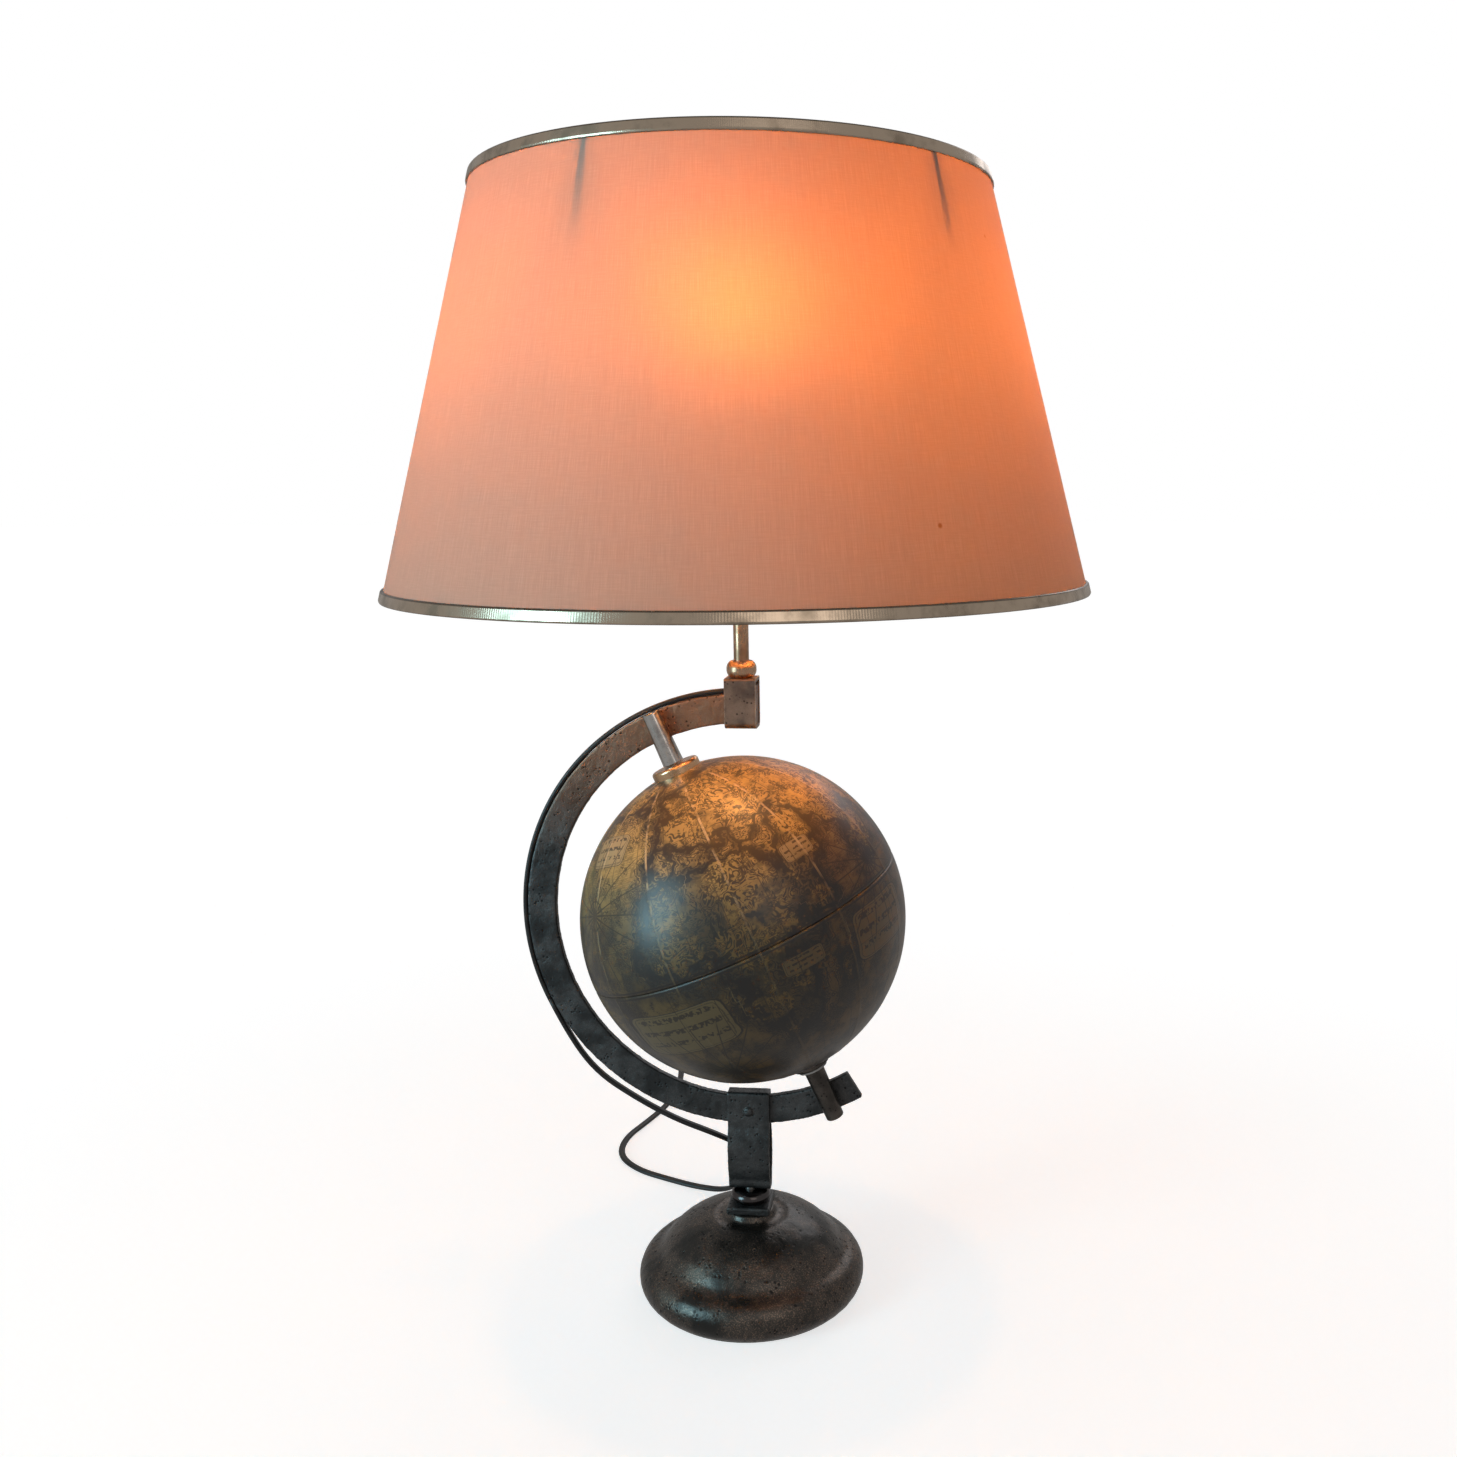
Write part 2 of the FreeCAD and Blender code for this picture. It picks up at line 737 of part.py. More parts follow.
def make_head():
    half_depth = block_depth / 2
    half_inside = half_depth - block_wall
    inner_corner = block_corner - block_wall
    outside = [
        (half_depth - block_corner, block_bottom),
        (half_depth, block_bottom + block_corner, block_corner),
        (half_depth, block_top - edge_break),
        (half_depth - edge_break, block_top, edge_break),
        (-(half_depth - edge_break), block_top),
        (-half_depth, block_top - edge_break, edge_break),
        (-half_depth, block_bottom + block_corner),
        (-(half_depth - block_corner), block_bottom, block_corner),
    ]
    floor = block_bottom + block_wall
    ceiling = block_top - block_wall
    inside = [
        (half_inside - inner_corner, floor),
        (half_inside, floor + inner_corner, inner_corner),
        (half_inside, ceiling),
        (-half_inside, ceiling),
        (-half_inside, floor + inner_corner),
        (-(half_inside - inner_corner), floor, inner_corner),
    ]
    shell = plate("head_band", "YZ_Plane", block_width, outside, inside)
    del pieces["head_band"]
    cut("head_block", shell,
        rod("head_tube_hole", tube_radius, ceiling - 1, block_top + 1))
    half_core = block_width / 2 - 0.6
    lock_nut_floor = ceiling - lock_nut_thick
    core = plate("core_blank", "YZ_Plane", half_core * 2, [
        (half_inside - inner_corner, floor),
        (half_inside, floor + inner_corner, inner_corner),
        (half_inside, lock_nut_floor),
        (-half_inside, lock_nut_floor),
        (-half_inside, floor + inner_corner),
        (-(half_inside - inner_corner), floor, inner_corner),
    ])
    del pieces["core_blank"]
    bar_end = bar_radius * cos_of(bar_start) + 0.5
    slot = brick("core_slot", (-(half_core + 1), bar_end), (-bar_front, bar_front),
                 (floor - 1, globe_height + bar_radius + 0.1))
    channel = cord_width / 2 + 0.4
    way = brick("core_cord_way", (-(half_core + 1), tube_bore), (-channel, channel),
                (globe_height + bar_radius - 2, lock_nut_floor + 1))
    cut("head_core", core, slot, way)
    keep("head_lock_nut", hexagon("head_lock_nut", block_width * 0.66, tube_radius,
                                  lock_nut_floor, ceiling))
    middle = block_top + ball_height / 2
    neck = ball_radius * ball_neck_share
    bulge = ball_height * ball_bulge_share
    turned(
        "tube_ball",
        [
            (tube_radius, block_top),
            (neck, block_top),
            (ball_radius, middle, bulge),
            (neck, tube_foot, bulge),
            (tube_radius, tube_foot),
        ],
    )
    turned(
        "lamp_tube",
        [
            (tube_bore, lock_nut_floor),
            (tube_radius, lock_nut_floor),
            (tube_radius, holder_bottom + 10),
            (tube_bore, holder_bottom + 10),
        ],
    )
    make_wires()


def sweep(points, radius):
    """A round solid along straight runs joined by arcs through given middles."""
    wire = Part.Wire(points)
    start = wire.Edges[0].valueAt(wire.Edges[0].FirstParameter)
    along = wire.Edges[0].tangentAt(wire.Edges[0].FirstParameter)
    section = Part.Wire([Part.makeCircle(radius, start, along)])
    return wire.makePipeShell([section], True, True)


def make_wires():
    """Two insulated wires up the lamp tube, from the cord's end to the holder."""
    bend = wire_bend.value
    near = 1 - math.sin(math.pi / 4)
    foot = (globe_height + cord_track).value + 0.1
    lead = Part.Compound([])
    for side in (-1, 1):
        y = wire_spread.value * side
        start = Vector(-bend - 3, y, foot)
        turn = Vector(-bend, y, foot)
        middle = Vector(-bend * near, y, foot + bend * near)
        rise = Vector(0, y, foot + bend)
        top = Vector(0, y, holder_joint.value - 4)
        edges = [
            Part.LineSegment(start, turn).toShape(),
            Part.Arc(turn, middle, rise).toShape(),
            Part.LineSegment(rise, top).toShape(),
        ]
        lead.add(sweep(edges, wire_radius.value))
    feature = doc.addObject("Part::Feature", "holder_wires")
    feature.Shape = lead
    keep("holder_wires", feature)


# ---------------------------------------------------------------- lamp holder and bulb


def make_holder():
    inside = holder_radius - holder_wall
    turned(
        "holder_cap",
        [
            (tube_radius, holder_bottom),
            (tube_radius + cap_nose_width, holder_bottom),
            (tube_radius + cap_nose_width, holder_bottom + cap_nose_height),
            (holder_radius, holder_joint - cap_skirt, cap_dome),
            (holder_radius, holder_joint),
            (inside, holder_joint),
            (inside, holder_joint - cap_skirt + 1),
            (tube_radius + cap_nose_width - 0.5, holder_bottom + cap_bore_depth),
            (tube_radius, holder_bottom + cap_bore_depth),
        ],
    )
    shoulder = fitter_height - fit_gap
    shell = turned(
        "holder_shell",
        [
            (inside, holder_joint),
            (holder_radius, holder_joint),
            (holder_radius, shoulder - ledge_thick),
            (holder_radius + ledge_width, shoulder - ledge_thick),
            (holder_radius + ledge_width, shoulder),
            (holder_radius, shoulder),
            (holder_radius, holder_top),
            (inside, holder_top),
        ],
    )
    del pieces["holder_shell"]
    key_hole = rod_along_x("holder_key_hole", key_radius + running_gap, key_height,
                           0, holder_radius + ledge_width)
    cut("holder_body", shell, key_hole)
    insert_top = bulb_seat - contact_thick
    thread_radius = bulb_cap_radius + thread_gap
    core = turned(
        "insert_blank",
        [
            (0, holder_joint + fit_gap),
            (inside - fit_gap, holder_joint + fit_gap),
            (inside - fit_gap, insert_top),
            (0, insert_top),
        ],
    )
    del pieces["insert_blank"]
    cut("holder_insert", core,
        rod_along_x("insert_key_hole", key_radius + fit_gap, key_height, 8, holder_radius))
    turned(
        "holder_thread",
        [
            (thread_radius, insert_top),
            (thread_radius + thread_wall, insert_top),
            (thread_radius + thread_wall, holder_top - ledge_width),
            (thread_radius, holder_top - ledge_width),
        ],
    )
    keep("holder_contact", rod("holder_contact", contact_radius, insert_top, bulb_seat))
    ring_foot = fitter_top + fit_gap
    turned(
        "holder_ring",
        [
            (holder_radius, ring_foot),
            (holder_radius + ring_width, ring_foot),
            (holder_radius + ring_width, ring_foot + ring_width / 2),
            (holder_radius + ring_width / 2, holder_top - fit_gap),
            (holder_radius, holder_top - fit_gap),
        ],
    )
    make_key()


def rod_along_x(name, radius, z, low, high):
    """A plain cylinder along +X from low to high."""
    cylinder = doc.addObject("Part::Cylinder", name)
    bind(cylinder, "Radius", radius)
    bind(cylinder, "Height", dim(high) - low)
    return place(cylinder, x=low, z=z, axis=(0, 1, 0), angle=90)


def make_key():
    """The turn key of the switch in the holder."""
    start = holder_radius + key_reach
    half = key_thick / 2
    rise = key_tall / 2
    shaft = rod_along_x("key_shaft", key_radius, key_height, key_reach, start + rise)
    grip = brick("key_grip", (start, start + key_length), (-half, half),
                 (key_height - rise, key_height + rise))
    joined = doc.addObject("Part::Fuse", "switch_key_body")
    joined.Base = shaft
    joined.Tool = grip
    keep("switch_key", joined)


def make_bulb():
    cap_top = bulb_seat + bulb_cap_height
    turned(
        "bulb_cap",
        [
            (0, bulb_seat),
            (4.5, bulb_seat),
            (bulb_cap_radius - 1, bulb_seat + 5),
            (bulb_cap_radius, bulb_seat + 6),
            (bulb_cap_radius, cap_top),
            (0, cap_top),
        ],
    )
    neck = bulb_cap_radius - 0.5
    drop = bulb_radius * bulb_cheek_share
    cheek = bulb_centre - drop
    stem_top = bulb_centre - bulb_radius * 0.4
    inner = bulb_radius - bulb_wall
    turned(
        "bulb_glass",
        [
            (neck - bulb_wall, cap_top, bulb_neck_bend),
            (neck, cap_top),
            (leg(bulb_radius, drop), cheek, -bulb_neck_bend),
            (bulb_radius, bulb_centre, bulb_radius),
            (0, bulb_centre + bulb_radius, bulb_radius),
            (0, bulb_centre + inner),
            (inner, bulb_centre, -inner),
            (leg(inner, drop), cheek, -inner),
        ],
    )
    turned(
        "bulb_stem",
        [
            (0, cap_top),
            (bulb_stem_radius, cap_top),
            (bulb_stem_radius * 0.4, cap_top + bulb_stem_radius),
            (bulb_stem_radius * 0.25, stem_top),
            (0, stem_top),
        ],
    )


# ---------------------------------------------------------------- shade


def shade_radius(height):
    """Outside radius of the fabric cone at a height."""
    share = (dim(height) - shade_bottom) / shade_rise
    return shade_bottom_radius + (shade_top_radius - shade_bottom_radius) * share


def make_shade():
    low = shade_bottom + cover_inset
    high = shade_top - cover_inset
    turned(
        "shade_cover",
        [
            (shade_radius(low) - shade_wall, low),
            (shade_radius(low), low),
            (shade_radius(high), high),
            (shade_radius(high) - shade_wall, high),
        ],
    )
    for name, foot in (("bottom", shade_bottom), ("top", shade_top - trim_height)):
        head = foot + trim_height
        lip = trim_proud - trim_edge / 2
        turned(
            f"shade_{name}_trim",
            [
                (shade_radius(foot) + trim_gap, foot),
                (shade_radius(foot) + lip, foot),
                (shade_radius(foot + trim_edge) + trim_proud, foot + trim_edge, trim_proud),
                (shade_radius(head - trim_edge) + trim_proud, head - trim_edge),
                (shade_radius(head) + lip, head, trim_proud),
                (shade_radius(head) + trim_gap, head),
            ],
        )
    inset = shade_wall + ring_wire_radius * shade_lean + ring_gap
    for name, height in (("bottom", low + ring_wire_radius), ("top", high - ring_wire_radius)):
        ring = doc.addObject("Part::Torus", f"shade_{name}_ring")
        bind(ring, "Radius1", shade_radius(height) - inset)
        bind(ring, "Radius2", ring_wire_radius)
        place(ring, z=height)
        keep(f"shade_{name}_ring", ring)
    make_spider(shade_radius(high - ring_wire_radius) - inset, high - ring_wire_radius)


def make_spider(ring_radius, ring_height):
    """The fitter washer with five struts up to the top ring."""
    body = turned(
        "shade_spider",
        [
            (holder_radius + running_gap, fitter_height),
            (fitter_radius, fitter_height),
            (fitter_radius, fitter_top),
            (holder_radius + running_gap, fitter_top),
        ],
    )
    half = strut_side / 2
    root = fitter_radius - 0.5
    foot = fitter_height + fitter_thick / 2
    sketch = new_sketch(body, "strut_outline", "XZ_Plane", [
        (root, foot - half * 0.6),
        (fitter_radius + strut_elbow, foot - half),
        (ring_radius, ring_height - half),
        (ring_radius, ring_height + half),
        (fitter_radius + strut_elbow, foot + half),
        (root, foot + half * 0.6),
    ])
    strut = body.newObject("PartDesign::Pad", "strut_pad")
    strut.Profile = sketch
    strut.SideType = "Symmetric"
    bind(strut, "Length", strut_side)
    doc.recompute()
    pattern = body.newObject("PartDesign::PolarPattern", "strut_pattern")
    pattern.Originals = [strut]
    pattern.Axis = (sketch, ["V_Axis"])
    pattern.Angle = 360
    pattern.Occurrences = 5
    body.Tip = pattern
    place(body, angle=strut_phase)


# ---------------------------------------------------------------- cord

# The cord's free route by hand: off the bar at the lower left, behind the strap, down behind the
# base to the table, out to the left, and back to the coil.
free_route = [
    (-126.2, 0, 181.8),
    (-108, 2, 153.5),
    (-82, 5, 134),
    (-54, 9, 116.5),
    (-27, 13.5, 104.5),
    (-7, 20, 92),
    (1, 33, 78),
    (-3, 52, 63),
    (-12, 76, 44),
    (-22, 97, 24),
    (-38, 114, 7),
    (-63, 127, 1.7),
    (-90, 138, 1.7),
    (-118, 151, 1.7),
    (-139, 174, 1.7),
    (-142, 206, 1.7),
    (-130, 239, 1.7),
    (-119, 275, 1.7),
    (-117, 316, 1.7),
    (-123, 356, 1.7),
    (-131, 392, 1.7),
    (-140, 421, 3.5),
]
coil_centre = (-108, 440)
tail_route = [
    (-85, 474.6, 5.5),
    (-72, 476.9, 7),
    (-60, 479, 7),
]
plug_heading = 10.0


def bent_wire(spots):
    """Straight runs joined by the largest arcs that both neighbours leave room for."""
    edges = []
    radii = []
    last = spots[0]
    for before, corner, after in zip(spots, spots[1:], spots[2:]):
        back = (before - corner)
        ahead = (after - corner)
        turn = math.pi - back.getAngle(ahead)
        reach = 0.45 * min(back.Length, ahead.Length)
        radius = reach / math.tan(turn / 2)
        radii.append(radius)
        back.normalize()
        ahead.normalize()
        first = corner + back * reach
        final = corner + ahead * reach
        bisector = (back + ahead).normalize()
        centre_distance = radius / math.cos(turn / 2)
        middle = corner + bisector * (centre_distance - radius)
        edges.append(Part.LineSegment(last, first).toShape())
        edges.append(Part.Arc(first, middle, final).toShape())
        last = final
    edges.append(Part.LineSegment(last, spots[-1]).toShape())
    return edges, radii


def cord_piece(node, edges):
    """A cord's round stand-in along the given edges."""
    radius = cord_thick.value / 2
    shape = sweep(edges, radius)
    length = sum(edge.Length for edge in edges)
    ideal = math.pi * radius * radius * length
    print(f"{node}: length {length:.1f}, volume over section times length {shape.Volume / ideal:.4f}")
    feature = doc.addObject("Part::Feature", node)
    feature.Shape = shape
    keep(node, feature)
    return length


def make_cord():
    track = cord_track.value
    height = globe_height.value

    def on_track(degrees):
        angle = math.radians(degrees)
        return Vector(track * math.cos(angle), 0, height + track * math.sin(angle))

    entry = math.degrees(math.acos(-(block_width.value / 2) / track))
    leave = cord_leave.value
    quarter = (entry + leave) / 2
    first = Part.Arc(on_track(leave), on_track((leave + quarter) / 2), on_track(quarter)).toShape()
    second = Part.Arc(on_track(quarter), on_track((quarter + entry) / 2), on_track(entry)).toShape()
    along = Vector(math.sin(math.radians(entry)), 0, -math.cos(math.radians(entry)))
    inside = Part.LineSegment(on_track(entry), on_track(entry) + along * 3.0).toShape()
    held = cord_piece("cord_on_bar", [first, second, inside])
    spots = [on_track(leave)] + [Vector(*spot) for spot in free_route]
    edges, radii = bent_wire(spots)
    print("free cord radii", [round(radius, 1) for radius in radii])
    free = cord_piece("cord_free", edges)
    tail, tail_radii = bent_wire([Vector(*spot) for spot in tail_route])
    print("cord tail radii", [round(radius, 1) for radius in tail_radii])
    end = cord_piece("cord_tail", tail)
    print(f"held {held:.0f}, free {free:.0f}, tail {end:.0f}")
    make_coil()
    make_plug()


def make_coil():
    half = coil_side / 2
    corner = coil_corner
    coil = turned(
        "cord_coil",
        [
            (coil_radius - half + corner, 0, corner),
            (coil_radius + half - corner, 0),
            (coil_radius + half, corner, corner),
            (coil_radius + half, coil_height - corner),
            (coil_radius + half - corner, coil_height, corner),
            (coil_radius - half + corner, coil_height),
            (coil_radius - half, coil_height - corner, corner),
            (coil_radius - half, corner),
        ],
    )
    place(coil, x=coil_centre[0], y=coil_centre[1])
    reach = half + tie_gap
    roof = coil_height + tie_gap
    tie = plate(
        "cord_tie",
        "XZ_Plane",
        tie_width,
        [
            (-(reach + tie_wall), tie_lift),
            (-reach, tie_lift),
            (-reach, roof),
            (reach, roof),
            (reach, tie_lift),
            (reach + tie_wall, tie_lift),
            (reach + tie_wall, roof + tie_wall),
            (-(reach + tie_wall), roof + tie_wall),
        ],
    )
    place(tie, x=coil_radius + coil_centre[0], y=coil_centre[1])


def make_plug():
    x, y, z = tail_route[-1]
    relief = doc.addObject("Part::Cone", "plug_relief_cone")
    bind(relief, "Radius1", cord_width / 2)
    bind(relief, "Radius2", relief_radius)
    bind(relief, "Height", relief_length)
    heading = Rotation(Vector(0, 0, 1), plug_heading).multiply(Rotation(Vector(0, 1, 0), 90))
    relief.Placement = Placement(Vector(x, y, z), heading)
    keep("plug_relief", relief)
    along = Vector(math.cos(math.radians(plug_heading)), math.sin(math.radians(plug_heading)), 0)
    spot = Vector(x, y, z) + along * relief_length.value
    half = plug_width / 2
    plug_waist = plug_length * 0.45
    body = plate(
        "plug_body",
        "XY_Plane",
        plug_thick,
        [
            (0, -(plug_nose / 2)),
            (plug_waist, -half, -plug_flare),
            (plug_length, -half),
            (plug_length, half),
            (plug_waist, half),
            (0, plug_nose / 2, -plug_flare),
        ],
    )
    body.Placement = Placement(spot, Rotation(Vector(0, 0, 1), plug_heading))
    pins = []
    for side in (-1, 1):
        pin = doc.addObject("Part::Cylinder", f"plug_pin_{side + 2}")
        bind(pin, "Radius", pin_radius)
        bind(pin, "Height", pin_length)
        across = Vector(-along.y, along.x, 0) * (pin_spread.value / 2 * side)
        pin.Placement = Placement(spot + along * plug_length.value + across, heading)
        pins.append(pin)
    group("plug_pins", *pins)


# ---------------------------------------------------------------- build


def check_all():
    """Stop if any object failed or any sub-part is empty or not valid."""
    for thing in doc.Objects:
        if "Invalid" in thing.State or "Error" in thing.State:
            raise RuntimeError(f"{thing.Name} failed: {thing.State}")
    for node, thing in pieces.items():
        shape = thing.Shape
        if shape.isNull() or not shape.isValid() or not shape.Solids:
            raise RuntimeError(f"{node} has no sound solid")


def write_all():
    os.makedirs("parts", exist_ok=True)
    for node, thing in pieces.items():
        thing.Shape.exportStep(f"parts/{node}.step")
    print(f"{len(pieces)} sub-parts")


doc.recompute()
make_base()
make_stem()
make_strap()
make_bar()
make_posts()
make_globe()
make_head()
make_holder()
make_bulb()
make_shade()
make_cord()
doc.recompute()
check_all()
write_all()
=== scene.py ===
import json
import math
import bpy
import numpy as np
from mathutils import Matrix, Quaternion, Vector, noise


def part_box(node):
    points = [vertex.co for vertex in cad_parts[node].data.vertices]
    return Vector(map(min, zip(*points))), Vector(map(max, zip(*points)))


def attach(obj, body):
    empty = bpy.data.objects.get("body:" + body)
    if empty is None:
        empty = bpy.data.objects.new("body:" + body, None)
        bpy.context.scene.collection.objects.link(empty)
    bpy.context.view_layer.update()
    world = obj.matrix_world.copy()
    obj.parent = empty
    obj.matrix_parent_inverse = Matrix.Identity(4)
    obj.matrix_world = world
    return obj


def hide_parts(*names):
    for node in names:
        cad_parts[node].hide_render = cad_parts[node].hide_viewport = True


# A table lamp whose stand carries an old terrestrial globe.
# Metres. +Z up, the front of the lamp faces -Y, origin at the centre of the base on the table.

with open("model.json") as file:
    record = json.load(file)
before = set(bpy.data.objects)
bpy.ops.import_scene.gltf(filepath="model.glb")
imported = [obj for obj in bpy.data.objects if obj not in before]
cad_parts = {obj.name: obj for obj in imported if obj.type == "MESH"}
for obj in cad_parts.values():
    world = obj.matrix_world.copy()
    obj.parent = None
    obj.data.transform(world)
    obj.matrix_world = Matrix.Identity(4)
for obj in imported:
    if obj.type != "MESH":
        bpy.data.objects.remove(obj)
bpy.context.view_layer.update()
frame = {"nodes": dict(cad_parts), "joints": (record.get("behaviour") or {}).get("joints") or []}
nodes = frame["nodes"]
slots = {name: node.data.materials[0].name for name, node in nodes.items()}
for plain in list(bpy.data.materials):
    bpy.data.materials.remove(plain)

MM = 0.001
UP = Vector((0, 0, 1))

# Sizes that several pieces share, worked out from the frame
BAR_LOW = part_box("meridian_bar")[0]
BAR_RADIUS = -BAR_LOW.x
BAR_CENTRE = Vector((0, 0, BAR_LOW.z + BAR_RADIUS))
SHADE_LOW, SHADE_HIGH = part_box("shade_cover")

# The spider's five struts: the first one's turn and the step between them, in degrees
STRUT_TURN = 34.5
STRUT_STEP = 72.0

globe_joint = next(joint for joint in frame["joints"] if joint["name"] == "globe_spin")
GLOBE_MIDDLE = Vector(globe_joint["pos_m"])
GLOBE_AXIS = Vector(globe_joint["axis"]).normalized()

# ---------------------------------------------------------------- camera, floor and light


def make_camera():
    """A view from the front, a little to the right and above, with the picture shifted sideways."""
    spot = Vector((0.1456, -0.8959, 0.5538))
    sight = Vector((-0.0957, 0.9806, -0.1711))
    roll = math.radians(-0.40)
    data = bpy.data.cameras.new("camera")
    data.sensor_width = 36.0
    data.lens = 34.49
    data.shift_x = -0.070
    camera = bpy.data.objects.new("camera", data)
    bpy.context.scene.collection.objects.link(camera)
    camera.location = spot
    camera.rotation_mode = "QUATERNION"
    camera.rotation_quaternion = sight.to_track_quat("-Z", "Y") @ Quaternion((0, 0, 1), roll)
    bpy.context.scene.camera = camera


def soft_light(name, spot, target, width, height, power, colour):
    data = bpy.data.lights.new(name, "AREA")
    data.shape = "RECTANGLE"
    data.size = width
    data.size_y = height
    data.energy = power
    data.color = colour
    lamp = bpy.data.objects.new(name, data)
    bpy.context.scene.collection.objects.link(lamp)
    lamp.location = spot
    lamp.rotation_mode = "QUATERNION"
    lamp.rotation_quaternion = (Vector(target) - Vector(spot)).to_track_quat("-Z", "Y")
    return lamp


def make_studio():
    """Three soft lights, and a world whose strength differs for what is lit, mirrored and seen."""
    soft_light("window_light", (-1.75, -1.35, 0.75), (0, 0, 0.35), 0.9, 1.4, 30, (0.48, 0.86, 1.0))
    soft_light("front_light", (1.1, -2.3, 1.7), (0, 0, 0.4), 1.6, 1.6, 7, (1.0, 0.90, 0.82))
    soft_light("back_light", (0.6, 2.2, 1.6), (0, 0, 0.3), 1.8, 1.2, 9, (0.95, 0.95, 1.0))
    world = bpy.data.worlds.new("studio")
    bpy.context.scene.world = world
    world.use_nodes = True
    work = Bench(world.node_tree)
    work.tree.nodes.clear()
    room = work.add("Background", {"Color": (0.9, 0.92, 1.0, 1), "Strength": 0.14})
    mirrored = work.add("Background", {"Color": (1.0, 0.97, 0.95, 1), "Strength": 0.34})
    seen = work.add("Background", {"Color": (1, 1, 1, 1), "Strength": 1.0})
    path = work.add("LightPath")
    lit = work.blend(path.outputs["Is Glossy Ray"], room, mirrored)
    shown = work.blend(path.outputs["Is Camera Ray"], lit, seen)
    out = work.add("OutputWorld")
    work.feed(shown.outputs[0], out.inputs["Surface"])


def make_floor():
    """Pale paper, lit evenly far out and shaded softly near the lamp."""
    half = 20.0
    corners = [(-half, -half, 0), (half, -half, 0), (half, half, 0), (-half, half, 0)]
    floor = new_piece("floor", corners, [(0, 1, 2, 3)])
    floor.location.z = -0.0003
    work = new_finish("floor_paper")
    away = work.vector("LENGTH", work.place(), out="Value")
    near = work.fade(away, 0.9, 0.15)
    colour = work.mix(near, (0.02, 0.02, 0.02, 1), (0.55, 0.545, 0.54, 1))
    glow = work.mix(near, (0.98, 0.98, 0.98, 1), (0.70, 0.70, 0.70, 1))
    paper = work.principled(colour, 0.9, 0.0)
    work.feed(glow, paper.inputs["Emission Color"])
    work.feed(1.0, paper.inputs["Emission Strength"])
    give(floor, "floor_paper")
    floor.visible_glossy = False
    floor.visible_diffuse = False


# ---------------------------------------------------------------- mesh helpers


def new_piece(name, points, faces, smooth=True):
    mesh = bpy.data.meshes.new(name)
    mesh.from_pydata([tuple(point) for point in points], [], faces)
    mesh.validate()
    mesh.update()
    mesh.polygons.foreach_set("use_smooth", [smooth] * len(mesh.polygons))
    piece = bpy.data.objects.new(name, mesh)
    bpy.context.scene.collection.objects.link(piece)
    return piece


def grid_faces(rows, columns, closed_rows=False):
    """Quads over rings of points that each hold the same number of columns."""
    faces = []
    for row in range(rows if closed_rows else rows - 1):
        after = (row + 1) % rows
        for column in range(columns):
            beside = (column + 1) % columns
            faces.append((row * columns + column, row * columns + beside,
                          after * columns + beside, after * columns + column))
    return faces


def turned_points(outline, steps, wobble):
    """The points of an outline of (radius, height) turned about Z, pushed out by wobble(angle, height)."""
    points = []
    for radius, height in outline:
        for step in range(steps):
            angle = 2 * math.pi * step / steps
            spread = radius + wobble(angle, height)
            points.append((spread * math.cos(angle), spread * math.sin(angle), height))
    return points


def swept(name, path, section, flat_side):
    """A closed section carried along a path. flat_side(tangent) gives the section's wide direction."""
    sides = len(section)
    points = []
    last = len(path) - 1
    for index, spot in enumerate(path):
        along = (path[min(index + 1, last)] - path[max(index - 1, 0)]).normalized()
        wide = flat_side(along).normalized()
        thin = along.cross(wide).normalized()
        for x, y in section:
            points.append(spot + wide * x + thin * y)
    faces = grid_faces(len(path), sides)
    faces.append(tuple(reversed(range(sides))))
    faces.append(tuple(range(last * sides, (last + 1) * sides)))
    return new_piece(name, points, faces)


def curve_line(name, controls, per_run):
    """Points along the smooth line that the control points pull."""
    data = bpy.data.curves.new(name, "CURVE")
    data.dimensions = "3D"
    data.resolution_u = per_run
    spline = data.splines.new("NURBS")
    spline.points.add(len(controls) - 1)
    for point, control in zip(spline.points, controls):
        point.co = (control[0], control[1], control[2], 1.0)
    spline.order_u = 3
    spline.use_endpoint_u = True
    holder = bpy.data.objects.new(name, data)
    mesh = bpy.data.meshes.new_from_object(holder)
    line = [vertex.co.copy() for vertex in mesh.vertices]
    bpy.data.objects.remove(holder)
    bpy.data.curves.remove(data)
    bpy.data.meshes.remove(mesh)
    return line


def give(piece, finish):
    """Puts one finish on a whole piece."""
    piece.data.materials.clear()
    piece.data.materials.append(bpy.data.materials[finish])


# ---------------------------------------------------------------- cord

CORD_WIDTH = 5.4 * MM
CORD_THICK = 3.4 * MM
CORD_LEAVE = math.radians(205)
CORD_TRACK = BAR_RADIUS + CORD_THICK / 2 + 0.1 * MM

# The lead, from where it leaves the bar: down behind the strap to the table, and out
cord_route = [
    (-0.1262, 0, 0.1818),
    (-0.108, 0.002, 0.1535),
    (-0.082, 0.005, 0.134),
    (-0.054, 0.009, 0.1165),
    (-0.027, 0.0135, 0.1045),
    (-0.007, 0.020, 0.092),
    (0.001, 0.033, 0.078),
    (-0.003, 0.052, 0.063),
    (-0.012, 0.076, 0.044),
    (-0.022, 0.097, 0.024),
    (-0.038, 0.114, 0.007),
    (-0.063, 0.127, 0.0017),
    (-0.090, 0.138, 0.0017),
    (-0.118, 0.151, 0.0017),
    (-0.139, 0.174, 0.0017),
    (-0.142, 0.206, 0.0017),
    (-0.130, 0.239, 0.0017),
    (-0.119, 0.275, 0.0017),
    (-0.117, 0.316, 0.0017),
    (-0.123, 0.356, 0.0017),
    (-0.131, 0.392, 0.0017),
]
tail_route = [
    (-0.085, 0.4746, 0.0055),
    (-0.072, 0.4769, 0.007),
    (-0.060, 0.479, 0.007),
]


